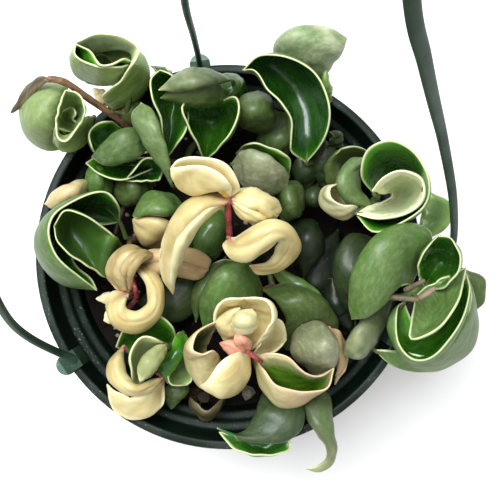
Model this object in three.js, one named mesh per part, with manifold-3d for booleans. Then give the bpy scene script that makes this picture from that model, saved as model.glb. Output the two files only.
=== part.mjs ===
// A potted hindu rope plant: short vines of curled, folded leaves in a plastic hanging basket.
// Millimetres, +Z up. The origin is the centre of the basket's base, on the basket's own axis.
import * as THREE from "three";
import { mergeVertices } from "three/addons/utils/BufferGeometryUtils.js";
import Module from "manifold-3d";

const wasm = await Module();
wasm.setup();

// Driving dimensions of the basket
const rimRadius = 100;
const potHeight = 130;
const footRadius = 70;
const wall = 1.8;
const skirtWall = 1.5;
const lipWidth = 4.5;
const lipDrop = 9;
const edgeRound = 1.2;
const baseChamfer = 2;
const ledgeDepth = 18;
const ledgeRadius = 90.6;
const lowerLedgeDepth = 23;
const lowerLedgeRadius = 85.8;
const ledgeStep = 1.5;
const drainHoleRadius = 3.5;
const drainHoleSides = 10;
const drainCircleRadius = 45;
const drainHoles = 8;
const potSegments = 40;

// Soil, filled to a low mound under the lower ledge, with lumps that fade out at its edge
const soilEdgeDepth = 27;
const soilMound = 7;
const soilRoughness = 0.9;
const lumpLength = 9;
const soilRings = 5;
const soilSegments = 24;
const soilRadius = 83.5;
const soilFootRadius = 65.2;
const soilFootHeight = 2.2;

// Hanger: three stiff arms that hook over the rim and meet in the collar under one hook
const armWidth = 4.6;
const armThickness = 3;
const armSides = 8;
const armSteps = 16;
const clipWidth = 10;
const clipThickness = 1.8;
const clipInnerDrop = 11;
const clipOuterDrop = 7;
const clipPlay = 0.4;
const tongueReach = 7.5;
const tongueWidth = 11;
const tongueSides = 14;
const collarRadius = 8;
const collarTaper = 0.8;
const collarHeight = 14;
const collarSides = 16;
const collarFoot = [12, 86, 468];
const socketRadius = 4.4;
const socketRun = 24;
const hookRadius = 17;
const hookRod = 2.4;
const hookSides = 8;
const hookSteps = 14;
const hookNeck = 16;
const hookTurn = 270;
const hookPoints = 6;

// Clearance that neighbours keep
const gap = 0.3;

// Leaves: their thickness at the midrib, the margin and both ends, and how far short of its point each stops
const leafThickness = 1.7;
const marginThickness = 0.8;
const endThickness = 1;
const leafInset = 0.035;
const rowLength = 14;
const fewestRows = 3;
const mostRows = 8;
const shortLeaf = 14;
const wideColumns = 4;
const shortColumns = 2;

// Stalks and stems
const stalkWidth = 2.2;
const stalkThickness = 1.8;
const stalkShortest = 1.2;
const stalkDepth = 18;
const stemSides = 5;

// The plant is laid out as its photograph shows it, looking straight down from above the rim. A point of a
// leaf is [x, y, height]: x and y in the photograph's 500 pixel frame, and its height above the rim in mm.
const eyeHeight = 330;
const photoCentre = 250;
const millimetresPerPixel = 0.518;
const axisShiftX = 22;
const axisShiftY = 7;

// The point of the basket's frame that the photograph shows at x, y when it lies at that height over the rim.
function seen([x, y, height]) {
  const nearness = 1 - height / eyeHeight;
  return new THREE.Vector3(
    ((x - photoCentre) * nearness + axisShiftX) * millimetresPerPixel,
    ((photoCentre - y) * nearness + axisShiftY) * millimetresPerPixel,
    potHeight + height,
  );
}

const colours = {
  pot: { color: 0x1f3a2c, roughness: 0.38, metalness: 0 },
  soil: { color: 0x1e150f, roughness: 0.95, metalness: 0 },
  hanger: { color: 0x4a6050, roughness: 0.42, metalness: 0 },
  green: { color: 0x55793f, roughness: 0.4, metalness: 0 },
  cream: { color: 0xefe1ac, roughness: 0.45, metalness: 0 },
  brown: { color: 0x6e4f38, roughness: 0.8, metalness: 0 },
};

const leaf = (cup, bow, midrib, left, right) => ({ cup, bow, midrib, left, right });
const stem = (radius, route) => ({ radius, route });

// Each arm's route from its clip on the rim, as points that the photograph shows, and past its edge on
// towards the hook. socket is the side of the collar that the arm stands in, in degrees from +X.
const arms = {
  north: {
    socket: 90,
    route: [[200, 67, 1.8], [198, 55, 16], [196, 36, 44], [185, 0, 100], [184, -60, 150]],
  },
  west: {
    socket: 210,
    route: [[75, 359, 2.2], [62, 354, 9], [30, 338, 42], [0, 306, 105], [-26, 217, 170], [-44, 17, 225]],
  },
  east: {
    socket: 330,
    route: [
      [402, 341, 2.6], [420, 320, -3], [437, 296, -5], [448, 268, -4], [452, 250, -3], [454, 234, 8],
      [454, 215, 32], [452, 190, 58], [443, 140, 98], [433.5, 100, 140], [424.5, 60, 171], [412, 0, 200],
    ],
  },
};

// The vines. Each leaf: cup, bow, then its midrib, left margin and right margin from base to tip.
const vines = {
  vine_ring_leaf: {
    look: "green",
    stems: [
      stem(1.7, [[150, 150, -37], [146, 140, -14], [140, 124, -4], [126, 114, 3]]),
    ],
    leaves: [
      leaf(
        95,
        0,
        [
          [112, 110, 6], [136, 96, 10], [146, 74, 16], [140, 54, 12], [114, 48, 6], [92, 52, 12],
          [77, 42, 40],
        ],
        [[122, 108, 0], [135, 88, 2], [128, 70, 0], [110, 60, 2], [92, 62, 12]],
        [[103, 96, 20], [119, 82, 32], [136, 59, 42], [138, 46, 44], [118, 36, 44], [97, 34, 42]],
      ),
      leaf(
        95,
        0,
        [[137, 64, 27], [122, 80, 18], [96, 84, 14], [76, 74, 18], [72, 58, 28], [76, 44, 40]],
        [[122, 66, 40], [98, 67, 42], [84, 61, 42], [75, 54, 42]],
        [[125, 60, 42], [104, 65, 44], [96, 60, 44], [88, 50, 42]],
      ),
      leaf(
        100,
        0,
        [[146, 120, -6], [135, 110, 4], [120, 108, 4], [113, 116, -2]],
        [[138, 99, -2], [120, 99, -2]],
        [[140, 127, -6], [124, 125, -4]],
      ),
      leaf(
        90,
        0,
        [[112, 106, 4], [100, 97, 10], [93, 88, 12]],
        [[99, 103, 7]],
        [[104, 91, 7]],
      ),
    ],
  },
  vine_snail_leaf: {
    look: "green",
    stems: [
      stem(1.6, [[132, 166, -37], [124, 156, -14], [106, 141, 0], [86, 133, 4]]),
    ],
    leaves: [
      leaf(
        105,
        0,
        [[81, 136, 4], [54, 145, 10], [34, 126, 26], [36, 100, 31], [54, 88, 28], [68, 87, 20]],
        [[68, 136, 3], [57, 124, 16], [55, 110, 23], [63, 97, 24]],
        [[72, 144, 3], [48, 148, 2], [27, 130, 6], [27, 100, 9], [44, 85, 11], [58, 82, 12]],
      ),
      leaf(
        100,
        0,
        [[74, 134, 20], [70, 124, 16], [72, 112, 16], [66, 90, 34]],
        [[59, 128, 32], [58, 114, 38], [60, 102, 39]],
        [[80, 124, 30], [85, 110, 36], [80, 95, 38]],
      ),
      leaf(
        95,
        0,
        [[94, 116, 6], [88, 134, 10], [72, 143, 14], [60, 140, 20], [56, 122, 36]],
        [[92, 128, 4], [84, 142, 7], [68, 148, 10], [57, 143, 16]],
        [[84, 118, 26], [76, 131, 32], [66, 141, 36], [58, 137, 37]],
      ),
      leaf(
        100,
        0,
        [[122, 128, 0], [108, 137, 3], [101, 148, 4], [97, 155, 12]],
        [[124, 134, 12], [114, 146, 14]],
        [[107, 121, 18], [91, 130, 20], [91, 146, 20]],
      ),
    ],
  },
  withered_stem: {
    look: "brown",
    stems: [
      stem(1.7, [[141, 152, -37], [136, 138, -14], [123, 123, 6], [92, 101, 24], [64, 82, 36], [47, 78, 38]]),
    ],
    leaves: [
      leaf(
        90,
        0,
        [[50, 80, 36], [38, 82, 32], [26, 96, 26], [11, 113, 20]],
        [[42, 85, 33], [30, 97, 26], [18, 109, 21]],
        [[40, 77, 31], [25, 90, 25], [15, 106, 21]],
      ),
    ],
  },
  vine_west: {
    look: "green",
    stems: [
      stem(1.6, [[156, 186, -37], [150, 182, -18], [138, 176, -16], [120, 166, -14]]),
    ],
    leaves: [
      leaf(
        100,
        0,
        [[152, 150, 4], [135, 142, 22], [115, 146, 24], [92, 157, 14]],
        [[140, 132, 14], [125, 131, 20], [108, 140, 18]],
        [[144, 153, 16], [124, 162, 18], [107, 166, 16]],
      ),
      leaf(
        95,
        0,
        [[158, 166, -6], [135, 168, -8], [112, 168, -4], [86, 163, 10]],
        [[142, 173, 6], [122, 180, 10], [100, 174, 12]],
        [[145, 158, 0], [120, 160, 2], [98, 158, 6]],
      ),
      leaf(
        90,
        2,
        [[164, 172, -4], [150, 170, 8], [138, 176, 12], [126, 181, 10]],
        [[152, 178, 4], [138, 182, 8]],
        [[150, 163, 8], [140, 171, 12]],
      ),
      leaf(
        100,
        0,
        [[114, 188, -8], [101, 181, 6], [90, 180, 4], [84, 182, -2]],
        [[104, 168, -2], [90, 168, 0]],
        [[106, 196, -4], [90, 194, -4]],
      ),
      leaf(
        100,
        0,
        [[152, 194, -12], [134, 191, 2], [113, 192, -8]],
        [[140, 178, -6], [122, 178, -6]],
        [[140, 204, -10], [122, 204, -10]],
      ),
      leaf(
        95,
        0,
        [[90, 196, -8], [78, 191, 10], [60, 198, 12], [45, 204, 6]],
        [[86, 182, 0], [68, 184, 4], [52, 194, 5]],
        [[82, 203, -4], [66, 206, 0], [52, 208, 3]],
      ),
    ],
  },
  vine_big_west_leaf: {
    look: "green",
    stems: [
      stem(1.7, [[140, 240, -37], [134, 240, -16], [126, 238, -10]]),
    ],
    leaves: [
      leaf(
        100,
        0,
        [[126, 258, -8], [108, 254, 18], [90, 243, 14], [70, 229, 13], [54, 226, 31]],
        [[112, 278, 6], [92, 268, 22], [72, 256, 30], [58, 242, 32]],
        [[118, 240, 16], [100, 226, 28], [80, 214, 34], [64, 211, 34]],
      ),
      leaf(
        100,
        0,
        [
          [120, 222, -4], [104, 206, 3], [72, 210, 6], [46, 230, 9], [40, 258, 10], [62, 283, 11],
          [97, 290, 14],
        ],
        [[110, 224, -6], [88, 228, -3], [72, 238, 1], [74, 262, 6], [90, 278, 11]],
        [
          [119, 206, 20], [106, 193, 28], [82, 198, 31], [56, 212, 33], [48, 232, 35], [56, 255, 32],
          [78, 275, 24],
        ],
      ),
    ],
  },
  vine_two_tone: {
    look: "green",
    stems: [
      stem(1.5, [[188, 232, -37], [187, 226, -12], [185, 214, 2]]),
    ],
    leaves: [
      leaf(
        95,
        0,
        [[184, 207, 6], [165, 200, 24], [145, 202, 22], [133, 216, 14]],
        [[170, 194, 6], [145, 196, 8]],
        [[170, 215, 24], [150, 214, 26], [138, 218, 22]],
      ),
      leaf(
        95,
        2,
        [[176, 236, 0], [157, 234, 16], [142, 228, 18], [133, 219, 12]],
        [[162, 246, -2], [143, 242, 2]],
        [[168, 222, 18], [150, 218, 20], [140, 218, 16]],
      ),
    ],
  },
  vine_north: {
    look: "green",
    stems: [
      stem(1.7, [
        [188, 178, -37], [186, 170, -16], [190, 150, -12], [215, 128, -12], [232, 106, -6],
        [234, 88, 6],
      ]),
    ],
    leaves: [
      leaf(
        95,
        0,
        [[172, 186, 10], [164, 160, 22], [152, 130, 30], [141, 103, 20]],
        [[169, 165, 18], [162, 140, 24], [152, 112, 24]],
        [[160, 166, 14], [143, 143, 20], [132, 118, 18]],
      ),
      leaf(
        100,
        0,
        [[166, 158, 4], [170, 135, 2], [170, 110, 2], [167, 88, 8], [160, 70, 28]],
        [[163, 142, 18], [161, 118, 28], [152, 97, 34], [151, 80, 34]],
        [[177, 145, 14], [187, 127, 18], [184, 100, 16], [174, 78, 28]],
      ),
      leaf(
        105,
        0,
        [[204, 162, 2], [210, 140, -4], [212, 120, -6], [209, 106, 4]],
        [[199, 148, 18], [188, 124, 28], [184, 104, 30]],
        [[220, 146, 24], [236, 124, 32], [236, 98, 30]],
      ),
      leaf(
        100,
        0,
        [[226, 98, 16], [205, 93, 33], [180, 93, 34], [161, 98, 30]],
        [[214, 80, 26], [185, 83, 28]],
        [[214, 105, 20], [185, 105, 24]],
      ),
      leaf(
        95,
        0,
        [[232, 80, 22], [205, 76, 41], [180, 81, 42], [159, 90, 36]],
        [[205, 69, 31], [180, 73, 33]],
        [[205, 86, 38], [182, 91, 38]],
      ),
      leaf(
        90,
        0,
        [[173, 77, 27], [166, 71, 14], [151, 65, 18]],
        [[166, 79, 20]],
        [[168, 64, 12]],
      ),
      leaf(
        100,
        0,
        [[242, 108, -2], [237, 90, 14], [228, 80, 12], [216, 76, 8]],
        [[228, 104, 8], [219, 92, 10]],
        [[244, 92, 4], [238, 76, 4]],
      ),
    ],
  },
  vine_ball_leaf: {
    look: "green",
    stems: [
      stem(1.5, [[276, 166, -37], [274, 156, -16], [266, 142, -8]]),
    ],
    leaves: [
      leaf(
        105,
        0,
        [[262, 136, -2], [256, 118, 22], [255, 104, 24], [258, 91, 12]],
        [[274, 120, 8], [270, 98, 10]],
        [[239, 122, 8], [242, 98, 10]],
      ),
      leaf(
        100,
        0,
        [[286, 158, -8], [280, 142, 4], [276, 124, 0], [274, 110, -8]],
        [[292, 142, -6], [290, 118, -8]],
        [[260, 148, -10], [262, 128, -8]],
      ),
    ],
  },
  vine_crescent_leaf: {
    look: "green",
    stems: [
      stem(1.8, [[322, 192, -37], [322, 178, -16], [317, 160, -6], [324, 130, -4], [320, 106, 3]]),
    ],
    leaves: [
      leaf(
        100,
        0,
        [
          [306, 163, 6], [309, 138, 12], [306, 110, 12], [292, 84, 12], [268, 66, 18], [243, 70, 32],
        ],
        [[292, 150, 22], [291, 125, 31], [284, 106, 35], [268, 88, 35], [255, 71, 35]],
        [[322, 142, 24], [330, 115, 34], [321, 82, 38], [297, 61, 40], [262, 55, 38]],
      ),
      leaf(
        100,
        0,
        [[316, 88, 3], [300, 56, 24], [312, 40, 32], [347, 38, 22]],
        [[327, 72, 7], [338, 58, 14], [344, 47, 20]],
        [[276, 54, 10], [293, 31, 22], [325, 27, 24]],
      ),
      leaf(
        90,
        0,
        [[334, 104, 3], [331, 84, 14], [328, 64, 16]],
        [[326, 86, 10]],
        [[334, 84, 8]],
      ),
      leaf(
        100,
        0,
        [[330, 196, -12], [326, 166, 2], [326, 141, 4]],
        [[338, 174, -8], [335, 148, -2]],
        [[314, 174, -8], [314, 149, -2]],
      ),
      leaf(
        95,
        0,
        [[328, 146, 6], [336, 142, 12], [338, 134, 16], [330, 132, 18]],
        [[340, 146, 10], [341, 134, 14]],
        [[330, 140, 12], [334, 136, 16]],
      ),
      leaf(
        95,
        0,
        [[308, 192, -12], [303, 170, 0], [300, 152, 0]],
        [[316, 172, -6]],
        [[293, 172, -6]],
      ),
    ],
  },
  vine_grey_leaf: {
    look: "green",
    stems: [
      stem(1.6, [[272, 216, -37], [276, 204, -14], [264, 188, -8], [244, 168, 0]]),
    ],
    leaves: [
      leaf(
        105,
        0,
        [[232, 164, 8], [248, 166, 24], [268, 176, 26], [287, 188, 12]],
        [[240, 182, 8], [262, 197, 6]],
        [[244, 152, 20], [268, 159, 22], [286, 172, 18]],
      ),
      leaf(
        95,
        0,
        [[289, 176, -2], [270, 160, 4], [250, 152, 4], [236, 153, 0]],
        [[275, 168, -4], [252, 163, -4]],
        [[289, 158, 14], [268, 147, 18], [248, 144, 16]],
      ),
      leaf(
        105,
        0,
        [[276, 208, -4], [290, 200, 16], [306, 199, -2]],
        [[284, 217, 0], [299, 216, 0]],
        [[282, 184, 0], [300, 184, -2]],
      ),
      leaf(
        100,
        0,
        [[300, 198, -6], [314, 196, 6], [328, 197, -6]],
        [[314, 207, -4]],
        [[314, 187, -4]],
      ),
      leaf(
        100,
        0,
        [[286, 222, -8], [306, 230, 10], [314, 248, 12], [304, 278, 0]],
        [[294, 240, 4], [298, 258, 4]],
        [[314, 222, 0], [322, 248, 2]],
      ),
    ],
  },
  cream_crown: {
    look: "cream",
    stems: [
      stem(1.6, [[232, 262, -37], [231, 250, 0], [230, 239, 30], [228, 215, 41], [228, 199, 47]]),
    ],
    leaves: [
      leaf(
        100,
        0,
        [[230, 198, 46], [218, 187, 46], [195, 192, 46], [178, 186, 50], [171, 168, 62]],
        [[229, 184, 66], [208, 168, 71], [186, 167, 70]],
        [[239, 186, 58], [226, 166, 66], [198, 157, 67], [180, 160, 66]],
      ),
      leaf(
        95,
        3,
        [[228, 200, 46], [200, 214, 54], [175, 240, 46], [166, 268, 34], [173, 295, 16]],
        [[224, 212, 42], [200, 230, 42], [182, 258, 32], [175, 276, 22]],
        [[208, 193, 44], [175, 208, 44], [157, 245, 34], [160, 278, 22]],
      ),
      leaf(
        95,
        3,
        [[231, 198, 46], [248, 202, 55], [266, 211, 50], [280, 220, 36]],
        [[242, 187, 46], [262, 190, 46], [281, 207, 38]],
        [[236, 210, 42], [246, 218, 38], [262, 226, 32]],
      ),
      leaf(
        95,
        3,
        [
          [229, 238, 34], [236, 246, 48], [256, 238, 54], [280, 229, 52], [293, 246, 42],
          [284, 264, 32], [266, 271, 26], [250, 263, 20],
        ],
        [
          [237, 236, 42], [253, 225, 48], [270, 217, 48], [288, 223, 44], [302, 246, 34],
          [289, 270, 24], [266, 279, 20], [252, 273, 18],
        ],
        [
          [222, 248, 38], [234, 262, 42], [252, 264, 44], [272, 252, 46], [279, 246, 40],
          [272, 258, 30], [264, 264, 24],
        ],
      ),
      leaf(
        90,
        0,
        [[228, 198, 48], [222, 190, 56], [221, 178, 62]],
        [[219, 190, 56]],
        [[226, 188, 56]],
      ),
    ],
  },
  cream_curl: {
    look: "cream",
    stems: [
      stem(1.7, [[140, 300, -37], [138, 297, -10], [133, 288, 6], [134, 276, 12]]),
    ],
    leaves: [
      leaf(
        95,
        3,
        [[130, 291, 6], [117, 275, 20], [122, 258, 26], [140, 250, 24], [156, 254, 18]],
        [[112, 284, 12], [109, 264, 16], [122, 248, 18], [141, 246, 18]],
        [[129, 280, 18], [131, 266, 22], [142, 258, 22]],
      ),
      leaf(
        95,
        2,
        [[132, 268, 8], [155, 262, 20], [182, 262, 20], [208, 270, 10]],
        [[148, 254, 14], [180, 250, 14], [209, 258, 10]],
        [[150, 271, 12], [174, 273, 12], [200, 278, 8]],
      ),
      leaf(
        95,
        3,
        [
          [129, 293, 6], [116, 303, 18], [119, 318, 22], [135, 322, 24], [153, 312, 26],
          [157, 292, 26], [148, 274, 22], [134, 266, 14],
        ],
        [
          [112, 292, 10], [106, 308, 12], [117, 327, 14], [136, 332, 14], [158, 318, 16],
          [164, 290, 18], [153, 270, 16],
        ],
        [
          [126, 299, 16], [126, 309, 18], [136, 312, 20], [147, 306, 22], [148, 290, 22],
          [142, 276, 20],
        ],
      ),
      leaf(
        90,
        0,
        [[120, 301, 2], [108, 298, 6], [96, 299, 8]],
        [[108, 304, 4]],
        [[108, 293, 4]],
      ),
      leaf(
        90,
        0,
        [[120, 316, 2], [111, 317, 4], [104, 321, 4]],
        [[112, 323, 2]],
        [[108, 311, 3]],
      ),
    ],
  },
  vine_centre: {
    look: "green",
    stems: [
      stem(1.6, [[216, 286, -37], [214, 280, -16], [202, 274, -14], [190, 268, -16]]),
      stem(1.5, [[214, 281, -18], [240, 284, -15], [262, 290, -9]]),
    ],
    leaves: [
      leaf(
        100,
        0,
        [[206, 276, -8], [190, 294, 2], [165, 308, 2], [138, 302, -12]],
        [[185, 274, -4], [152, 288, -6]],
        [[196, 308, -8], [160, 322, -8]],
      ),
      leaf(
        100,
        0,
        [[264, 290, -6], [240, 283, 20], [218, 298, 20], [203, 326, 0]],
        [[248, 262, 6], [222, 271, 12], [200, 300, 6]],
        [[256, 308, 0], [236, 320, 0], [216, 332, -4]],
      ),
      leaf(
        90,
        0,
        [[236, 262, -6], [210, 276, 6], [197, 298, 6], [196, 322, -4]],
        [[222, 260, 0], [202, 273, 2], [192, 298, 0]],
        [[224, 270, 2], [206, 290, 4]],
      ),
      leaf(
        100,
        0,
        [[200, 270, -12], [204, 246, 6], [213, 224, 8], [224, 206, -4]],
        [[196, 248, -6], [204, 220, -4]],
        [[220, 254, -6], [228, 226, -4]],
      ),
      leaf(
        95,
        0,
        [[186, 262, -16], [186, 244, -6], [190, 224, -4], [202, 208, -12]],
        [[180, 248, -12], [182, 226, -12]],
        [[196, 246, -12], [202, 226, -12]],
      ),
    ],
  },
  cream_loop: {
    look: "cream",
    stems: [
      stem(1.6, [[150, 368, -37], [148, 366, -14], [136, 356, -2], [125, 349, 3]]),
    ],
    leaves: [
      leaf(
        95,
        3,
        [
          [124, 347, 4], [113, 362, 18], [116, 379, 22], [132, 391, 24], [150, 387, 20],
          [162, 378, 12],
        ],
        [[123, 358, 12], [126, 373, 18], [138, 386, 20], [152, 380, 16]],
        [[110, 358, 8], [107, 378, 12], [122, 396, 14], [148, 396, 12]],
      ),
      leaf(
        95,
        0,
        [[164, 380, 0], [152, 402, 9], [132, 408, 10], [114, 400, 7], [107, 384, 8]],
        [[162, 406, 4], [140, 418, 4], [116, 412, 4]],
        [[154, 390, 10], [135, 398, 14], [118, 393, 12]],
      ),
    ],
  },
  vine_south_west: {
    look: "green",
    stems: [
      stem(1.6, [[184, 352, -37], [182, 348, -12], [177, 346, -4], [169, 347, 8], [167, 346, 15]]),
    ],
    leaves: [
      leaf(
        95,
        3,
        [[166, 345, 20], [152, 362, 30], [140, 381, 28]],
        [[167, 352, 16], [155, 370, 22]],
        [[151, 347, 22], [135, 367, 24]],
      ),
      leaf(
        100,
        0,
        [[168, 348, 4], [152, 352, 0], [141, 366, 0], [136, 386, 12]],
        [[164, 360, -2], [152, 374, -2]],
        [[160, 340, 24], [142, 338, 29], [131, 354, 30], [131, 372, 24]],
      ),
      leaf(
        100,
        0,
        [[176, 344, -4], [150, 334, 0], [128, 338, 0], [116, 347, 4]],
        [[157, 346, -4], [130, 350, -4]],
        [[173, 327, 12], [154, 316, 15], [128, 325, 12]],
      ),
      leaf(
        95,
        0,
        [[183, 332, -2], [184, 346, 8], [174, 358, 12], [164, 370, 10], [168, 383, 2]],
        [[187, 340, 2], [182, 356, 6], [171, 372, 6]],
        [[177, 334, 2], [170, 350, 8], [160, 364, 8]],
      ),
      leaf(
        100,
        0,
        [[194, 350, -6], [182, 362, -8], [177, 376, -6], [187, 385, 0]],
        [[190, 364, 3], [192, 378, 2]],
        [[181, 352, 2], [168, 366, 6], [171, 384, 6]],
      ),
      leaf(
        95,
        0,
        [[180, 380, -10], [175, 394, -8], [171, 409, -12]],
        [[164, 391, -12]],
        [[188, 390, -12]],
      ),
    ],
  },
  cream_rose: {
    look: "cream",
    stems: [
      stem(1.7, [[257, 368, -37], [256, 364, -8], [252, 357, 6], [248, 350, 18]]),
    ],
    leaves: [
      leaf(
        105,
        0,
        [[249, 351, 12], [258, 330, 18], [252, 310, 22], [244, 298, 40]],
        [[226, 338, 16], [214, 318, 28], [224, 301, 38]],
        [[266, 332, 32], [273, 313, 42], [264, 299, 44]],
      ),
      leaf(
        95,
        0,
        [[252, 354, 12], [270, 345, 14], [279, 333, 16], [276, 318, 18]],
        [[260, 346, 20], [269, 332, 24]],
        [[264, 357, 10], [285, 342, 12], [283, 324, 16]],
      ),
      leaf(
        110,
        0,
        [[238, 336, 26], [244, 323, 46], [252, 309, 38]],
        [[257, 328, 32], [257, 314, 38]],
        [[231, 326, 32], [236, 312, 38]],
      ),
      leaf(
        100,
        0,
        [[242, 342, 16], [228, 332, 28], [229, 317, 34], [240, 308, 34]],
        [[238, 332, 24], [238, 320, 26]],
        [[224, 341, 18], [218, 322, 24], [227, 311, 28]],
      ),
      leaf(
        90,
        1,
        [[249, 351, 18], [242, 342, 32], [236, 333, 32]],
        [[235, 343, 28]],
        [[248, 340, 28]],
      ),
      leaf(
        90,
        1,
        [[247, 354, 18], [236, 349, 28], [220, 343, 24]],
        [[234, 356, 20]],
        [[234, 342, 24]],
      ),
      leaf(
        105,
        0,
        [[224, 366, 8], [206, 388, 12], [189, 370, 8], [187, 346, 10], [217, 321, 28]],
        [[214, 351, 30], [203, 355, 34], [192, 350, 36], [196, 335, 34], [206, 327, 31]],
        [[208, 364, 2], [206, 350, 0], [210, 340, 6], [214, 330, 16]],
      ),
      leaf(
        105,
        0,
        [[249, 353, 10], [247, 380, 14], [224, 397, 14], [200, 386, 20]],
        [[240, 366, -2], [224, 378, -4], [208, 380, 6]],
        [[238, 353, 30], [221, 363, 38], [208, 381, 34]],
      ),
      leaf(
        105,
        0,
        [[255, 358, 10], [262, 388, 12], [284, 402, 12], [312, 394, 10], [334, 368, 20]],
        [[266, 354, 30], [288, 358, 34], [308, 374, 30], [322, 376, 26]],
        [[264, 370, 28], [278, 386, 30], [300, 392, 28], [326, 388, 24]],
      ),
    ],
  },
  vine_bulb_leaf: {
    look: "green",
    stems: [
      stem(1.6, [[306, 352, -37], [304, 344, -16], [292, 314, -10], [274, 288, -6], [269, 270, -8]]),
    ],
    leaves: [
      leaf(
        110,
        0,
        [[322, 382, -2], [322, 356, 30], [316, 338, 30], [302, 325, 10]],
        [[334, 364, 14], [336, 340, 16], [320, 321, 14]],
        [[308, 370, 8], [293, 354, 8], [293, 334, 6]],
      ),
      leaf(
        90,
        1,
        [[330, 328, 4], [339, 345, 13], [341, 364, 9], [335, 384, 0]],
        [[335, 350, 6], [338, 368, 5]],
        [[341, 334, 6], [347, 362, 4]],
      ),
      leaf(
        100,
        0,
        [[264, 290, 0], [294, 298, 16], [306, 318, 10], [296, 350, -8]],
        [[276, 299, 8], [289, 320, 6], [284, 346, -6]],
        [[290, 284, 4], [326, 302, 4], [336, 332, -6]],
      ),
      leaf(
        90,
        0,
        [[268, 264, -6], [288, 278, 4], [308, 290, 4], [326, 308, -4]],
        [[298, 279, 0], [318, 293, 0]],
        [[280, 282, -2], [300, 298, -2]],
      ),
    ],
  },
  vine_south: {
    look: "green",
    stems: [
      stem(1.6, [[284, 376, -37], [284, 384, -14], [288, 404, -4], [290, 418, 1]]),
    ],
    leaves: [
      leaf(
        105,
        0,
        [[270, 384, -6], [280, 410, 14], [270, 430, 17], [245, 439, 14], [217, 428, 8]],
        [[260, 404, 4], [252, 425, 9], [236, 434, 10]],
        [[302, 404, 4], [297, 432, 13], [262, 442, 14]],
      ),
      leaf(
        100,
        0,
        [[288, 432, 5], [276, 446, 4], [250, 448, 4], [219, 432, 4]],
        [[289, 450, 8], [262, 455, 10], [235, 449, 8]],
        [[283, 438, 4], [255, 441, 5]],
      ),
      leaf(
        95,
        0,
        [
          [314, 384, -6], [315, 405, 8], [321, 428, 14], [327, 445, 12], [323, 460, 8],
          [312, 469, 6], [303, 464, 6],
        ],
        [[302, 396, -2], [307, 424, 4], [318, 444, 6], [318, 457, 5], [311, 464, 5]],
        [[327, 396, -2], [328, 425, 4], [333, 444, 4], [328, 462, 4], [312, 472, 4]],
      ),
    ],
  },
  vine_rosette: {
    look: "green",
    stems: [
      stem(1.7, [[362, 216, -37], [365, 208, -12], [374, 200, 2], [379, 195, 7]]),
    ],
    leaves: [
      leaf(
        100,
        0,
        [
          [374, 194, 10], [380, 172, 10], [400, 165, 12], [418, 185, 15], [411, 210, 13],
          [385, 224, 12], [357, 216, 22],
        ],
        [[386, 184, 2], [398, 178, 4], [405, 188, 5], [398, 205, 5], [380, 214, 6]],
        [
          [362, 176, 32], [367, 150, 40], [390, 140, 44], [414, 153, 44], [428, 182, 42],
          [424, 207, 36], [400, 224, 32], [374, 232, 28],
        ],
      ),
      leaf(
        110,
        0,
        [
          [357, 214, 24], [378, 211, 16], [399, 206, 10], [408, 194, 10], [402, 185, 14],
          [387, 186, 22], [372, 191, 30],
        ],
        [[372, 206, 12], [384, 202, 4], [392, 197, 2], [390, 191, 8]],
        [
          [380, 219, 30], [405, 214, 32], [421, 200, 34], [421, 180, 36], [402, 170, 38],
          [384, 177, 36],
        ],
      ),
      leaf(
        100,
        0,
        [[372, 206, 10], [352, 192, 22], [349, 174, 24], [362, 158, 16]],
        [[361, 192, 6], [358, 172, 8]],
        [[350, 205, 14], [339, 193, 16], [340, 172, 16], [350, 159, 16]],
      ),
      leaf(
        100,
        0,
        [[346, 196, -6], [337, 174, 6], [344, 160, 2], [370, 154, 8]],
        [[352, 178, -2], [354, 162, -2]],
        [[328, 184, 0], [328, 162, 8], [344, 148, 20], [360, 147, 18]],
      ),
      leaf(
        110,
        0,
        [[360, 208, 4], [340, 218, 8], [324, 208, 8], [322, 192, 8], [338, 184, 22]],
        [[350, 198, 0], [342, 196, -2], [338, 190, 4]],
        [[354, 206, 22], [342, 205, 26], [331, 198, 28], [330, 188, 27]],
      ),
      leaf(
        100,
        0,
        [[424, 240, 4], [436, 222, 5], [440, 205, 4], [430, 192, 2]],
        [[418, 236, 4], [422, 214, 4]],
        [[448, 226, 3], [449, 206, 2]],
      ),
    ],
  },
  vine_east: {
    look: "green",
    stems: [
      stem(1.9, [[350, 300, -37], [356, 300, -14], [384, 298, 3], [404, 296, 8], [420, 288, 11]]),
    ],
    leaves: [
      leaf(
        100,
        0,
        [[412, 284, 10], [403, 254, 36], [384, 262, 42], [364, 290, 36], [352, 319, 22]],
        [[431, 238, 24], [410, 224, 28], [376, 238, 32], [354, 272, 32], [349, 302, 26]],
        [[400, 286, 26], [384, 303, 28], [366, 317, 26]],
      ),
      leaf(
        105,
        0,
        [[424, 287, 10], [436, 270, 4], [444, 256, 6], [438, 236, 30]],
        [[418, 268, 28], [427, 248, 34]],
        [[446, 287, 28], [460, 262, 34], [453, 240, 32]],
      ),
      leaf(
        100,
        0,
        [[416, 296, 12], [434, 312, 22], [450, 294, 24], [466, 268, 16]],
        [[411, 324, 26], [412, 339, 30], [440, 326, 34], [458, 300, 32]],
        [[428, 286, 16], [450, 276, 18]],
      ),
      leaf(
        105,
        0,
        [
          [404, 302, 8], [391, 328, 11], [410, 350, 9], [440, 342, 7], [460, 308, 8], [467, 276, 12],
        ],
        [[412, 322, 9], [420, 334, 8], [438, 320, 6], [450, 298, 6]],
        [
          [397, 310, 20], [398, 342, 22], [414, 359, 24], [437, 353, 24], [461, 322, 24],
          [469, 292, 20],
        ],
      ),
      leaf(
        105,
        0,
        [[374, 350, 4], [405, 361, 6], [440, 363, 4], [469, 335, 4], [475, 303, 4], [466, 274, 2]],
        [[395, 366, 3], [434, 371, -6], [469, 350, -10], [477, 318, -4]],
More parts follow.
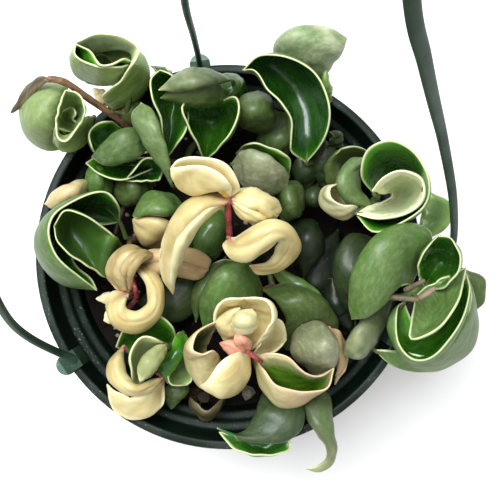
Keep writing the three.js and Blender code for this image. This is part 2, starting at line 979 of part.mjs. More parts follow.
        [[400, 352, 10], [435, 356, 14], [460, 330, 14], [471, 298, 12]],
      ),
      leaf(
        95,
        0,
        [[462, 268, -4], [474, 284, -3], [477, 309, -8]],
        [[466, 292, -8]],
        [[484, 280, -6], [484, 300, -8]],
      ),
      leaf(
        100,
        0,
        [[352, 316, -6], [350, 285, 14], [356, 257, 16], [378, 240, 4]],
        [[366, 290, 8], [372, 262, 10]],
        [[337, 292, 4], [334, 265, 8], [350, 234, 8]],
      ),
      leaf(
        95,
        0,
        [[354, 334, -14], [338, 306, -4], [332, 278, -6]],
        [[350, 304, -12], [344, 282, -12]],
        [[324, 308, -12], [326, 282, -12]],
      ),
      leaf(
        95,
        0,
        [[392, 300, 4], [374, 320, 16], [358, 340, 20], [344, 355, 14]],
        [[382, 303, 6], [362, 322, 12], [347, 342, 12]],
        [[386, 322, 6], [375, 343, 10], [360, 359, 12]],
      ),
      leaf(
        100,
        0,
        [[322, 318, -18], [318, 280, -12], [324, 250, -12], [338, 230, -16]],
        [[336, 288, -16], [342, 256, -16]],
        [[308, 290, -16], [310, 256, -16]],
      ),
    ],
  },
  fallen_leaf: {
    look: "brown",
    stems: [],
    leaves: [
      leaf(
        90,
        0,
        [[225, 394, -15], [220, 408, -13], [206, 417, -12], [193, 408, -13], [190, 397, -15]],
        [[222, 404, -15.5], [206, 420, -15.5], [191, 406, -15.5]],
        [[217, 404, -10], [206, 411, -9], [197, 404, -10]],
      ),
    ],
  },
};

// Solids and meshes

// The closed solid of a geometry, turned the right way out.
function solidFrom(geometry) {
  const bare = new THREE.BufferGeometry();
  bare.setAttribute("position", geometry.getAttribute("position"));
  if (geometry.index) bare.setIndex(geometry.index);
  const merged = mergeVertices(bare, 1e-4);
  const vertProperties = new Float32Array(merged.attributes.position.array);
  const triVerts = new Uint32Array(merged.index.array);
  const made = new wasm.Manifold(new wasm.Mesh({ numProp: 3, vertProperties, triVerts }));
  if (made.volume() >= 0) return made;
  for (let i = 0; i < triVerts.length; i += 3) {
    [triVerts[i + 1], triVerts[i + 2]] = [triVerts[i + 2], triVerts[i + 1]];
  }
  return new wasm.Manifold(new wasm.Mesh({ numProp: 3, vertProperties, triVerts }));
}

function union(solids) {
  return solids.reduce((all, next) => all.add(next));
}

function largestBody(solid) {
  const bodies = solid.decompose();
  return bodies.reduce((best, next) => (next.volume() > best.volume() ? next : best));
}

function meshFrom(solid, name, look) {
  const data = solid.getMesh();
  const geometry = new THREE.BufferGeometry();
  geometry.setAttribute("position", new THREE.BufferAttribute(Float32Array.from(data.vertProperties), 3));
  geometry.setIndex(new THREE.BufferAttribute(Uint32Array.from(data.triVerts), 1));
  geometry.computeVertexNormals();
  const mesh = new THREE.Mesh(geometry, new THREE.MeshStandardMaterial(colours[look]));
  mesh.name = name;
  return mesh;
}

// A closed surface from rings of equal length, each ring a closed loop of points, capped at both ends.
function loft(rings) {
  const count = rings[0].length;
  const positions = rings.flat().flatMap((p) => [p.x, p.y, p.z]);
  const index = [];
  for (let i = 0; i + 1 < rings.length; i += 1) {
    for (let j = 0; j < count; j += 1) {
      const a = i * count + j;
      const b = i * count + ((j + 1) % count);
      index.push(a, b, b + count, a, b + count, a + count);
    }
  }
  const last = (rings.length - 1) * count;
  for (let j = 1; j + 1 < count; j += 1) {
    index.push(0, j + 1, j, last, last + j, last + j + 1);
  }
  const geometry = new THREE.BufferGeometry();
  geometry.setAttribute("position", new THREE.Float32BufferAttribute(positions, 3));
  geometry.setIndex(index);
  return geometry;
}

// An oval bar along a curve, in straight lengths. phase turns its corners, in corners.
function bar(path, width, thickness, sides, steps, phase = 0) {
  const corners = Array.from({ length: sides }, (_, k) => {
    const angle = (2 * Math.PI * (k + phase)) / sides;
    return new THREE.Vector2((width / 2) * Math.cos(angle), (thickness / 2) * Math.sin(angle));
  });
  const section = new THREE.Shape(corners);
  return new THREE.ExtrudeGeometry(section, { steps, bevelEnabled: false, extrudePath: path });
}

function smooth(points) {
  return new THREE.CatmullRomCurve3(points, false, "centripetal");
}

// Leaves: a midrib, and a left and a right margin that leave it at the base and meet it again at the tip.
// Across the blade the section is part of an ellipse through the three: cup is its half angle in degrees,
// 90 for a half ellipse, more where the margins turn in again. bow lifts each half off the straight, in mm.

function spline(points) {
  return points.length === 2
    ? new THREE.LineCurve3(points[0], points[1])
    : new THREE.CatmullRomCurve3(points, false, "catmullrom", 0.5);
}

function bladeSurface({ cup, bow, midrib, left, right }) {
  const base = seen(midrib[0]);
  const tip = seen(midrib.at(-1));
  const middle = spline(midrib.map(seen));
  const leftEdge = spline([base, ...left.map(seen), tip]);
  const rightEdge = spline([base, ...right.map(seen), tip]);
  const half = THREE.MathUtils.degToRad(cup);
  const plain = (t, s) => {
    const m = middle.getPointAt(t);
    const l = leftEdge.getPointAt(t);
    const r = rightEdge.getPointAt(t);
    const across = Math.sin(half * s) / Math.sin(half) / 2;
    const rise = (1 - Math.cos(half * s)) / (1 - Math.cos(half));
    const chord = l.clone().add(r).multiplyScalar(0.5).sub(m);
    return r.sub(l).multiplyScalar(across).add(chord.multiplyScalar(rise)).add(m);
  };
  // The surface narrows to nothing at both ends, so a normal there is that of the nearest wide part.
  const step = 0.01;
  const pinch = 0.08;
  const normalOf = (surface, t, s) => {
    const at = THREE.MathUtils.clamp(t, pinch, 1 - pinch);
    const along = surface(at + step, s).sub(surface(at - step, s));
    const side = surface(at, Math.min(1, s + step)).sub(surface(at, Math.max(-1, s - step)));
    return side.cross(along).normalize();
  };
  const point = (t, s) => {
    const p = plain(t, s);
    if (bow === 0) return p;
    const swell = 4 * Math.abs(s) * (1 - Math.abs(s)) * Math.sin(Math.PI * t) ** 0.7;
    return p.add(normalOf(plain, t, s).multiplyScalar(bow * swell));
  };
  return { point, normal: (t, s) => normalOf(point, t, s), length: middle.getLength() };
}

// The closed blade with its stalk: past the blade's base, the section goes on as a flat stalk that ends at
// root, inside the stem. grow swells it all round, for the room that it needs beside its neighbours.
function blade(shape, root, grow = 0) {
  const { point, normal, length } = bladeSurface(shape);
  const rows = THREE.MathUtils.clamp(Math.round(length / rowLength), fewestRows, mostRows);
  const rings = [];
  for (let i = 0; i <= rows; i += 1) {
    const t = THREE.MathUtils.lerp(leafInset, 1 - leafInset, i / rows);
    const full = length < shortLeaf ? shortColumns : wideColumns;
    const columns = i === 0 || i === rows ? 1 : full;
    const body = Math.sin(Math.PI * t) ** 0.5;
    const upper = [];
    const lower = [];
    for (let j = 0; j <= columns; j += 1) {
      const s = -1 + (2 * j) / columns;
      const middle = THREE.MathUtils.lerp(leafThickness, marginThickness, Math.abs(s) ** 3);
      const depth = THREE.MathUtils.lerp(endThickness, middle, body) / 2 + grow;
      const n = normal(t, s).multiplyScalar(depth);
      const p = point(t, s);
      if (grow > 0 && Math.abs(s) === 1) {
        p.add(p.clone().sub(point(t, s * 0.9)).setLength(grow));
      }
      upper.push(p.clone().add(n));
      lower.push(p.clone().sub(n));
    }
    rings.push({ upper, lower });
  }
  const base = point(leafInset, 0);
  if (root && root.distanceTo(base) > stalkShortest) {
    const along = base.clone().sub(root).normalize();
    const across = point(2 * leafInset, 1).sub(point(2 * leafInset, -1)).projectOnPlane(along).normalize();
    const up = across.clone().cross(along).normalize();
    const corner = (side, face) =>
      root
        .clone()
        .addScaledVector(across, side * (stalkWidth / 2 + grow))
        .addScaledVector(up, face * (stalkThickness / 2 + grow));
    rings.unshift({ upper: [corner(-1, 1), corner(1, 1)], lower: [corner(-1, -1), corner(1, -1)] });
  }
  return solidFrom(bladeGeometry(rings));
}

// The strip between two rows of points, which may differ in number, as triangles.
function strip(near, far) {
  const triangles = [];
  let i = 0;
  let j = 0;
  while (i + 1 < near.length || j + 1 < far.length) {
    const nearNext = (i + 1) / (near.length - 1);
    const farNext = (j + 1) / (far.length - 1);
    if (nearNext <= farNext) {
      triangles.push([near[i], near[i + 1], far[j]]);
      i += 1;
    } else {
      triangles.push([near[i], far[j + 1], far[j]]);
      j += 1;
    }
  }
  return triangles;
}

// Both faces of a blade are split along the same diagonals, so that they can't cross.
function bladeGeometry(rings) {
  const upper = rings.flatMap((ring) => ring.upper);
  const lower = rings.flatMap((ring) => ring.lower);
  const count = upper.length;
  let first = 0;
  const rows = rings.map((ring) => ring.upper.map(() => first++));
  const index = [];
  for (let i = 0; i + 1 < rows.length; i += 1) {
    for (const [a, b, c] of strip(rows[i], rows[i + 1])) {
      index.push(a, b, c, count + a, count + c, count + b);
    }
  }
  const edge = [
    ...rows[0].slice(0, -1),
    ...rows.slice(0, -1).map((row) => row.at(-1)),
    ...rows.at(-1).slice(1).reverse(),
    ...rows.slice(1).reverse().map((row) => row[0]),
  ];
  edge.forEach((a, k) => {
    const b = edge[(k + 1) % edge.length];
    index.push(a, count + b, b, a, count + a, count + b);
  });
  const positions = [...upper, ...lower].flatMap((p) => [p.x, p.y, p.z]);
  const geometry = new THREE.BufferGeometry();
  geometry.setAttribute("position", new THREE.Float32BufferAttribute(positions, 3));
  geometry.setIndex(index);
  return geometry;
}


// Stems: rods of a few straight lengths, from the soil up.

function stemSolid({ radius, route }, grow = 0) {
  const width = 2 * (radius + grow);
  return solidFrom(bar(smooth(route.map(seen)), width, width, stemSides, route.length - 1));
}

// The middle of a stem at the place nearest to a leaf's base, above the soil.
function nearestOnStems(stems, base) {
  const places = stems.flatMap(({ route }) => {
    const joints = smooth(route.map(seen)).getSpacedPoints(route.length - 1);
    return joints
      .slice(1)
      .map((end, k) => new THREE.Line3(joints[k], end).closestPointToPoint(base, true, new THREE.Vector3()));
  });
  return places
    .filter((place) => place.z > potHeight - stalkDepth)
    .reduce((best, next) => (next.distanceTo(base) < best.distanceTo(base) ? next : best));
}

// A profile of radius and height turned about the basket's axis.
function turned(profile) {
  const lathe = new THREE.LatheGeometry(profile, potSegments);
  lathe.rotateX(Math.PI / 2);
  return solidFrom(lathe);
}

// What the leaves keep clear of: the basket's rim with its ledges, and the soil.
function ringSolid(inner, outer, bottom, top) {
  const profile = [
    [inner, bottom],
    [outer, bottom],
    [outer, top],
    [inner, top],
    [inner, bottom],
  ].map(([r, z]) => new THREE.Vector2(r, z));
  return turned(profile);
}

function boxesMeet(a, b) {
  const p = a.boundingBox();
  const q = b.boundingBox();
  return [0, 1, 2].every((k) => p.min[k] < q.max[k] && q.min[k] < p.max[k]);
}

// The vines are built in order, and each one is cut clear of those before it.
function buildVines(keepClear) {
  const built = [];
  for (const [name, vine] of Object.entries(vines)) {
    const { stems } = vine;
    const roots = vine.leaves.map((shape) =>
      stems.length > 0 ? nearestOnStems(stems, seen(shape.midrib[0])) : null,
    );
    let solid = union(vine.leaves.map((shape, k) => blade(shape, roots[k]))).subtract(keepClear);
    if (stems.length) solid = solid.add(union(stems.map((one) => stemSolid(one))));
    for (const other of built) {
      for (const room of other.rooms) {
        if (boxesMeet(room, solid)) solid = solid.subtract(room);
      }
    }
    solid = largestBody(solid);
    built.push({
      name,
      look: vine.look,
      solid,
      rooms: [
        ...vine.leaves.map((shape, k) => blade(shape, roots[k], gap)),
        ...stems.map((one) => stemSolid(one, gap)),
      ],
    });
  }
  return built;
}

// The basket: one moulded shell with a turned-down lip, two ledges inside and drain holes in its base.
function potSolid() {
  const top = potHeight;
  const lipInner = rimRadius - lipWidth;
  const skirtInner = rimRadius - skirtWall;
  const profile = [
    [0, 0],
    [footRadius - baseChamfer, 0],
    [footRadius, baseChamfer],
    [lipInner + wall - edgeRound, top - lipDrop - 2 * baseChamfer],
    [lipInner + wall, top - wall - edgeRound],
    [skirtInner, top - wall],
    [skirtInner, top - lipDrop],
    [rimRadius, top - lipDrop],
    [rimRadius, top - edgeRound],
    [rimRadius - edgeRound, top],
    [lipInner + edgeRound, top],
    [lipInner, top - edgeRound],
    [lipInner - edgeRound, top - ledgeDepth + ledgeStep],
    [ledgeRadius, top - ledgeDepth],
    [ledgeRadius - edgeRound, top - lowerLedgeDepth + ledgeStep],
    [lowerLedgeRadius, top - lowerLedgeDepth],
    [footRadius - wall, wall + baseChamfer],
    [footRadius - wall - baseChamfer, wall],
    [0, wall],
  ].map(([r, z]) => new THREE.Vector2(r, z));
  let shell = turned(profile);
  for (let k = 0; k < drainHoles; k += 1) {
    const angle = (2 * Math.PI * k) / drainHoles;
    const hole = new THREE.CylinderGeometry(drainHoleRadius, drainHoleRadius, 4 * wall, drainHoleSides);
    hole.rotateX(Math.PI / 2);
    hole.translate(drainCircleRadius * Math.cos(angle), drainCircleRadius * Math.sin(angle), 0);
    shell = shell.subtract(solidFrom(hole));
  }
  return shell;
}

// The soil's top: a low mound with small lumps.
function soilHeight(x, y) {
  const u = x / lumpLength;
  const v = y / lumpLength;
  const out = Math.hypot(x, y) / soilRadius;
  const lumps = Math.sin(u + 2 * Math.sin(0.6 * v)) * Math.cos(1.1 * v - 1.5 * Math.sin(0.75 * u));
  return potHeight - soilEdgeDepth + soilMound * (1 - out ** 2) + soilRoughness * lumps * (1 - out ** 4);
}

function soilSolid() {
  const ring = (radius, height) =>
    Array.from({ length: soilSegments }, (_, k) => {
      const angle = (2 * Math.PI * k) / soilSegments;
      const x = radius * Math.cos(angle);
      const y = radius * Math.sin(angle);
      return new THREE.Vector3(x, y, height ?? soilHeight(x, y));
    });
  const rings = [ring(soilFootRadius, soilFootHeight)];
  for (let k = soilRings; k > 0; k -= 1) rings.push(ring((soilRadius * k) / soilRings));
  return solidFrom(loft(rings));
}

// One arm of the hanger, with the clip that hooks over the rim at its foot.
function armSolid({ socket, route }) {
  const points = route.map(seen);
  const foot = Math.atan2(points[0].y, points[0].x);
  const turn = THREE.MathUtils.degToRad(socket);
  const side = new THREE.Vector3(Math.cos(turn), Math.sin(turn), 0).multiplyScalar(socketRadius);
  const top = new THREE.Vector3(...collarFoot).add(side);
  const below = top.clone().setZ(top.z - socketRun);
  top.z += collarHeight / 4;
  const path = smooth([...points, below, top]);
  return solidFrom(bar(path, armWidth, armThickness, armSides, armSteps, 0.5))
    .add(clipSolid(foot))
    .subtract(collarSolid(gap));
}

// The clip: a strap bent over the rim, and a round tongue that stands out under it to be pushed off by.
function clipSolid(angle) {
  const under = potHeight + clipPlay;
  const inner = rimRadius - lipWidth - 2 * clipPlay;
  const outer = rimRadius + clipPlay;
  const outline = new THREE.Shape();
  outline.moveTo(inner - clipThickness - clipPlay, under - clipInnerDrop);
  outline.lineTo(inner - 2 * clipPlay, under - clipInnerDrop);
  outline.lineTo(inner, under);
  outline.lineTo(outer, under);
  outline.lineTo(outer, under - clipOuterDrop);
  outline.lineTo(outer + clipThickness, under - clipOuterDrop);
  outline.lineTo(outer + clipThickness, under + clipThickness);
  outline.lineTo(inner - clipThickness, under + clipThickness);
  outline.closePath();
  const strap = new THREE.ExtrudeGeometry(outline, { depth: clipWidth, bevelEnabled: false });
  strap.translate(0, 0, -clipWidth / 2);
  strap.rotateX(Math.PI / 2);
  strap.rotateZ(angle);
  const disc = new THREE.CylinderGeometry(tongueWidth / 2, tongueWidth / 2, clipThickness, tongueSides);
  disc.rotateX(Math.PI / 2);
  const reach = outer + tongueReach - tongueWidth / 2;
  disc.translate(reach, 0, under - clipOuterDrop + clipThickness / 2);
  disc.rotateZ(angle);
  const tongue = solidFrom(disc).subtract(ringSolid(0, outer, 0, 2 * potHeight));
  return solidFrom(strap).add(tongue);
}

function collarSolid(grow = 0) {
  const [x, y, z] = collarFoot;
  const collar = new THREE.CylinderGeometry(
    collarRadius * collarTaper + grow,
    collarRadius + grow,
    collarHeight + 2 * grow,
    collarSides,
  );
  collar.rotateX(Math.PI / 2);
  collar.translate(x, y, z + collarHeight / 2);
  return solidFrom(collar);
}

// The hook: a round rod that rises from the collar and turns over in three quarters of a circle.
function hookSolid() {
  const [x, y, z] = collarFoot;
  const middle = z + collarHeight + hookNeck + hookRadius;
  const points = [new THREE.Vector3(x, y, z + collarHeight / 2)];
  for (let k = 0; k <= hookPoints; k += 1) {
    const angle = THREE.MathUtils.degToRad(-90 + (hookTurn * k) / hookPoints);
    const across = hookRadius * Math.cos(angle);
    const up = hookRadius * Math.sin(angle);
    points.push(new THREE.Vector3(x + across, y, middle + up));
  }
  const path = smooth(points);
  return solidFrom(bar(path, 2 * hookRod, 2 * hookRod, hookSides, hookSteps)).add(collarSolid());
}

const rimBand = ringSolid(ledgeRadius - 1, rimRadius + gap, 0, potHeight + gap);
const soilBand = ringSolid(0, ledgeRadius, 0, potHeight - soilEdgeDepth + 2);
const vineSolids = buildVines(rimBand.add(soilBand));

// Each stem stands in a plain hole in the soil.
let soil = soilSolid();
for (const { stems } of Object.values(vines)) {
  for (const one of stems) soil = soil.subtract(stemSolid(one, gap));
}

const plant = new THREE.Group();
plant.add(
  meshFrom(potSolid(), "pot", "pot"),
  meshFrom(soil, "soil", "soil"),
  meshFrom(hookSolid(), "hanger_hook", "hanger"),
  ...Object.entries(arms).map(([name, arm]) => meshFrom(armSolid(arm), `hanger_arm_${name}`, "hanger")),
  ...vineSolids.map(({ name, look, solid }) => meshFrom(solid, name, look)),
);

export default plant;
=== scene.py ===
# %% [markdown]
# # A potted hindu rope plant
# Short vines of thick, waxy leaves that curl and fold on themselves, in a plastic hanging basket.
# The solids already give every piece its place and size. This lesson makes the surfaces that the eye
# sees: smooth blades with cream margins, lumpy soil, moulded plastic. Lengths are in metres here, and a
# number of millimetres is divided by 1000 where it enters.

# %% Load the solids as a fixed frame
import math
import random

import bpy
import numpy as np
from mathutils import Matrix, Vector


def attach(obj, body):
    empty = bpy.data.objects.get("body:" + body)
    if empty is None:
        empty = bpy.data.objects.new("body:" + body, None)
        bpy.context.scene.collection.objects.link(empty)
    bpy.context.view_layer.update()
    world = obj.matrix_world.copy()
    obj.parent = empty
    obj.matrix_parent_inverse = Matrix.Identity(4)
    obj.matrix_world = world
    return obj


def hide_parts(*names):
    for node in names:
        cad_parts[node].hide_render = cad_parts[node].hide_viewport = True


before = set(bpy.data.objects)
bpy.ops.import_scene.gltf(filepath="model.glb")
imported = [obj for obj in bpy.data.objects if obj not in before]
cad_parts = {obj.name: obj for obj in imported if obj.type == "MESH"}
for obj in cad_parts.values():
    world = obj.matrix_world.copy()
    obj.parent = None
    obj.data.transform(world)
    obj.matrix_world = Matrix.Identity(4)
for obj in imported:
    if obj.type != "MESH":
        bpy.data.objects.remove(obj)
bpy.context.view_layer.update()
MM = 0.001

# %% [markdown]
# ## Where things are
# The plant was laid out while looking straight down at it. A point is written as (x, y, height): x and y
# in a 500 by 500 view from above, and the height above the basket's rim in millimetres. The eye stands
# 330 mm over the rim, so what is nearer to it looks larger. One function turns such a point into a
# place in the basket's frame, and every leaf, stem and hanger arm below goes through it, as do the
# pebble, the old stub in the mix and the root crumbs.

# %% From the view above to a place in the frame
EYE_HEIGHT = 330.0
VIEW_CENTRE = 250.0
MM_PER_PIXEL = 0.518
AXIS_SHIFT = (22.0, 7.0)
RIM_HEIGHT = 130.0


def seen(point):
    """The place, in metres, of a point written as (x, y, height)."""
    x, y, height = point
    nearness = 1 - height / EYE_HEIGHT
    across = ((x - VIEW_CENTRE) * nearness + AXIS_SHIFT[0]) * MM_PER_PIXEL
    up = ((VIEW_CENTRE - y) * nearness + AXIS_SHIFT[1]) * MM_PER_PIXEL
    return np.array([across, up, RIM_HEIGHT + height]) * MM


print("view centre lies at", np.round(seen((250, 250, 0)), 4))

# %% [markdown]
# ## The camera
# The photograph looks straight down, and the basket fills the frame from near by, so the lens matters:
# tall leaves spread outwards. Eye height and millimetres per pixel fix the lens exactly.

# %% Camera
SENSOR = 36.0
view = bpy.data.cameras.new("view_from_above")
view.sensor_width = SENSOR
view.lens = SENSOR * (EYE_HEIGHT / MM_PER_PIXEL) / (2 * VIEW_CENTRE)
view.clip_start = 0.01
camera = bpy.data.objects.new("view_from_above", view)
camera.location = (
    AXIS_SHIFT[0] * MM_PER_PIXEL * MM,
    AXIS_SHIFT[1] * MM_PER_PIXEL * MM,
    (RIM_HEIGHT + EYE_HEIGHT) * MM,
)
bpy.context.scene.collection.objects.link(camera)
bpy.context.scene.camera = camera
print("lens", round(view.lens, 2), "mm at", [round(v, 4) for v in camera.location])

# %% [markdown]
# ## Shader maths as plain Python
# Node trees get hard to read when each Math node is wired by hand. A small class wraps an output socket,
# so that `1 - mask` or `mask * noise` adds the nodes itself. Colours never pass through a Math node,
# which would turn them grey: they are blended with a Mix node.


# %% Sockets with operators
class Wire:
    """An output socket that can be used in arithmetic."""

    def __init__(self, finish, socket):
        self.finish = finish
        self.socket = socket

    def _math(self, operation, *terms):
        """Adds one Math node with these terms and gives its output."""
        made = self.finish.node("ShaderNodeMath", {"operation": operation}, dict(enumerate(terms)))
        return made["Value"]

    def __add__(self, other):
        return self._math("ADD", self, other)

    def __radd__(self, other):
        return self._math("ADD", other, self)

    def __sub__(self, other):
        return self._math("SUBTRACT", self, other)

    def __rsub__(self, other):
        return self._math("SUBTRACT", other, self)

    def __mul__(self, other):
        return self._math("MULTIPLY", self, other)

    def __truediv__(self, other):
        return self._math("DIVIDE", self, other)

    def ramp(self, low, high, start=0.0, end=1.0):
        """Rises smoothly from start to end while the value goes from low to high."""
        made = self.finish.node(
            "ShaderNodeMapRange",
            {"interpolation_type": "SMOOTHSTEP"},
            {"Value": self, "From Min": low, "From Max": high, "To Min": start, "To Max": end},
        )
        return made["Result"]


def tint(code):
    """A colour written as #rrggbb, in the linear values that shaders use."""
    values = [int(code[k : k + 2], 16) / 255 for k in (1, 3, 5)]
    linear = [v / 12.92 if v <= 0.04045 else ((v + 0.055) / 1.055) ** 2.4 for v in values]
    return (*linear, 1.0)


class Finish:
    """A material and the few ways that this lesson adds nodes to it."""

    def __init__(self, name):
        self.material = bpy.data.materials.new(name)
        self.material.use_nodes = True
        self.tree = self.material.node_tree
        self.tree.nodes.clear()
        self.shader = self.tree.nodes.new("ShaderNodeBsdfPrincipled")
        output = self.tree.nodes.new("ShaderNodeOutputMaterial")
        self.tree.links.new(self.shader.outputs["BSDF"], output.inputs["Surface"])

    def plug(self, socket, value):
        """Links a wire to the socket, or sets the socket to a colour or number."""
        if isinstance(value, Wire):
            self.tree.links.new(value.socket, socket)
        elif isinstance(value, str):
            socket.default_value = tint(value)
        else:
            socket.default_value = value

    def node(self, kind, settings=None, inputs=None):
        """Adds a node: its settings first, then values or links for its sockets."""
        made = self.tree.nodes.new(kind)
        for name, value in (settings or {}).items():
            setattr(made, name, value)
        for name, value in (inputs or {}).items():
            self.plug(made.inputs[name], value)
        return {out.name: Wire(self, out) for out in made.outputs if out.enabled}

    def blend(self, mask, first, second):
        """first where mask is 0 and second where it is 1."""
        made = self.tree.nodes.new("ShaderNodeMix")
        made.data_type = "RGBA"
        self.plug(made.inputs["Factor"], mask)
        self.plug(next(s for s in made.inputs if s.name == "A" and s.type == "RGBA"), first)
        self.plug(next(s for s in made.inputs if s.name == "B" and s.type == "RGBA"), second)
        return Wire(self, next(s for s in made.outputs if s.type == "RGBA"))

    def read(self, name):
        """The three numbers of a vector kept on the mesh."""
        vector = self.node("ShaderNodeAttribute", {"attribute_name": name})["Vector"]
        parts = self.node("ShaderNodeSeparateXYZ", None, {"Vector": vector})
        return vector, parts["X"], parts["Y"], parts["Z"]

    def noise(self, vector, scale, detail, roughness):
        """Cloudy noise from 0 to 1; scale is how many clouds go to a metre."""
        return self.node(
            "ShaderNodeTexNoise",
            None,
            {"Vector": vector, "Scale": scale, "Detail": detail, "Roughness": roughness},
        )["Fac"]

    def grainy(self, lie, seed, along, across, detail, roughness):
        """Noise laid out on a leaf or stem; the seed shifts it, so that no two leaves look alike."""
        terms = {0: lie, 1: (along, across, 0.0)}
        scaled = self.node("ShaderNodeVectorMath", {"operation": "MULTIPLY"}, terms)["Vector"]
        shift = self.node("ShaderNodeCombineXYZ", None, {"X": seed, "Y": seed, "Z": seed})["Vector"]
        moved = self.node("ShaderNodeVectorMath", {"operation": "ADD"}, {0: scaled, 1: shift})["Vector"]
        return self.noise(moved, 1.0, detail, roughness)

    def place(self):
        """Where a point is on the object, in metres."""
        return self.node("ShaderNodeTexCoord")["Object"]

    def bump(self, height, strength, distance, under=None):
        """Relief from a height; distance is in metres, and under is the relief that it lies on."""
        inputs = {"Height": height, "Strength": strength, "Distance": distance}
        if under is not None:
            inputs["Normal"] = under
        return self.node("ShaderNodeBump", None, inputs)["Normal"]

    def set(self, **sockets):
        """Plugs the shader's sockets and gives the finished material."""
        for name, value in sockets.items():
            self.plug(self.shader.inputs[name.replace("_", " ")], value)
        return self.material


print("linear mid green", [round(v, 3) for v in tint("#5a8040")])

# %% [markdown]
# ## The skin of a leaf
# A hindu rope leaf has two faces. The inner one is deep glossy green. Its skin paints it nearly black-green
# away from the margin, which is painted shade for its folds, and brighter near the margin, which is painted
# light for light coming through. The outer one is paler, greyish and satin, with fine silvery flecks. A
# cream line runs round the margin, wider on some leaves, and a few leaves are cream all over.
# Each mesh vertex keeps what the skin needs: how far along the leaf it is, how many millimetres from the
# margin, and which face it is on. So the cream line is as wide on a small leaf as on a large one, and
# nothing has to be unwrapped or painted. Five noises make the variety, from soft cloud to fine fleck.


# %% The skin of a green leaf
MARGIN_BAND = 0.48
# The painted shade of the glossy face, away from the margin.
PAINTED_SHADE_GREEN = "#0d2a06"


def leaf_skin(
    name, inner, lit, outer, silver, margin,
    band=MARGIN_BAND, deep=PAINTED_SHADE_GREEN, blush=None, turned=False, gloss=1.0,
):
    """inner and lit colour the glossy face, outer and silver the satin one; band is in mm. The deep colour
    is painted shade away from the margin, and lit is also painted light near the margin.
    """
    skin = Finish(name)
    _, along, edge, face = skin.read("blade")
    lie, _, _, seed = skin.read("grain")
    if turned:
        face = 1 - face
    soft = skin.grainy(lie, seed, 70.0, 110.0, 2.0, 0.5)
    cloud = skin.grainy(lie, seed, 210.0, 420.0, 4.0, 0.65)
    vein = skin.grainy(lie, seed, 120.0, 900.0, 2.0, 0.6)
    fleck = skin.grainy(lie, seed, 1100.0, 1500.0, 2.0, 0.6)
    wander = skin.grainy(lie, seed, 260.0, 260.0, 3.0, 0.65)

    inside = skin.blend(soft.ramp(0.3, 0.75) * 0.55, inner, lit)
    # Painted shade: the glossy face darkens to deep away from the margin. Painted light: it turns lit near
    # the margin, where light comes through.
    inside = skin.blend(edge.ramp(2.0, 8.0) * 0.5, inside, deep)
    inside = skin.blend(edge.ramp(5.0, 1.0) * 0.6, inside, lit)
    inside = skin.blend(vein.ramp(0.5, 0.75) * 0.12, inside, lit)
    outside = skin.blend(cloud.ramp(0.4, 0.72) * 0.6, outer, silver)
    outside = skin.blend(soft.ramp(0.55, 0.25) * 0.35, outside, inner)
    outside = skin.blend(fleck.ramp(0.55, 0.72) * 0.5, outside, silver)
    outside = skin.blend(fleck.ramp(0.42, 0.3) * 0.3, outside, inner)
    if blush:
        outside = skin.blend(soft.ramp(0.25, 0.65) * along.ramp(0.35, 0.95) * 0.75, outside, blush)
    green = skin.blend(face, outside, inside)

    reach = (edge + (wander - 0.5) * (1.1 * band)) / (face * 0.5 + 0.5)
    pale = reach.ramp(band * 3.0, band * 0.8) * 0.35
    line = reach.ramp(band, band * 0.5)
    colour = skin.blend(pale, green, margin)
    colour = skin.blend(line * 0.8, colour, margin)

    normal = skin.bump(fleck, 0.12, 0.0002)
    normal = skin.bump(vein, 0.12, 0.0005, normal)
    normal = skin.bump(cloud, 0.1, 0.0008, normal)
    normal = skin.bump(soft, 0.3, 0.004, normal)
    return skin.set(
        Base_Color=colour,
        Roughness=face.ramp(0.0, 1.0, 0.46, 0.5 - 0.23 * gloss) + (cloud - 0.5) * 0.16,
        Normal=normal,
        Coat_Weight=face.ramp(0.0, 1.0, 0.06, 0.25 * gloss),
        Coat_Roughness=0.16,
        Subsurface_Weight=0.08,
        Subsurface_Radius=(0.4, 1.0, 0.15),
        Subsurface_Scale=0.0015,
        Specular_IOR_Level=0.15 + 0.25 * gloss,
    )


# %% The skin of a cream leaf
# How far the painted shade of the middle fold reaches to each side of the midrib.
FOLD_SHADE_REACH = 1.6 * MM


def cream_skin(name, body, pale, warm, rose, margin, ends=0.6, fold=0.6):
    """A leaf with no green in it: yellow and paler towards the margins; the warm colour along its middle
    fold is painted shade.
    """
    skin = Finish(name)
    _, along, edge, _ = skin.read("blade")
    lie, _, across, seed = skin.read("grain")
    soft = skin.grainy(lie, seed, 80.0, 110.0, 2.0, 0.5)
    vein = skin.grainy(lie, seed, 110.0, 800.0, 3.0, 0.6)
    fleck = skin.grainy(lie, seed, 1000.0, 1300.0, 2.0, 0.6)
    colour = skin.blend(soft.ramp(0.35, 0.75), body, warm)
    colour = skin.blend(edge.ramp(4.5, 0.8) * 0.75, colour, pale)
    colour = skin.blend(vein.ramp(0.5, 0.78) * 0.45, colour, pale)
    colour = skin.blend(fleck.ramp(0.6, 0.74) * 0.3, colour, warm)
    # Painted shade: the warm colour along the middle fold, as strong as fold says.
    colour = skin.blend((across * across).ramp(FOLD_SHADE_REACH**2, 0.0) * fold, colour, warm)
    tips = along.ramp(0.12, 0.0) + along.ramp(0.9, 1.0)
    colour = skin.blend(tips * ends, colour, rose)
    colour = skin.blend(edge.ramp(0.7, 0.2) * 0.5, colour, margin)
    normal = skin.bump(fleck, 0.1, 0.0002)
    normal = skin.bump(vein, 0.16, 0.0006, normal)
    return skin.set(
        Base_Color=colour,
        Roughness=0.44 + (soft - 0.5) * 0.15,
        Normal=normal,
        Coat_Weight=0.06,
        Coat_Roughness=0.25,
        Subsurface_Weight=0.15,
        Subsurface_Radius=(1.0, 0.75, 0.4),
        Subsurface_Scale=0.0015,
        Specular_IOR_Level=0.4,
    )
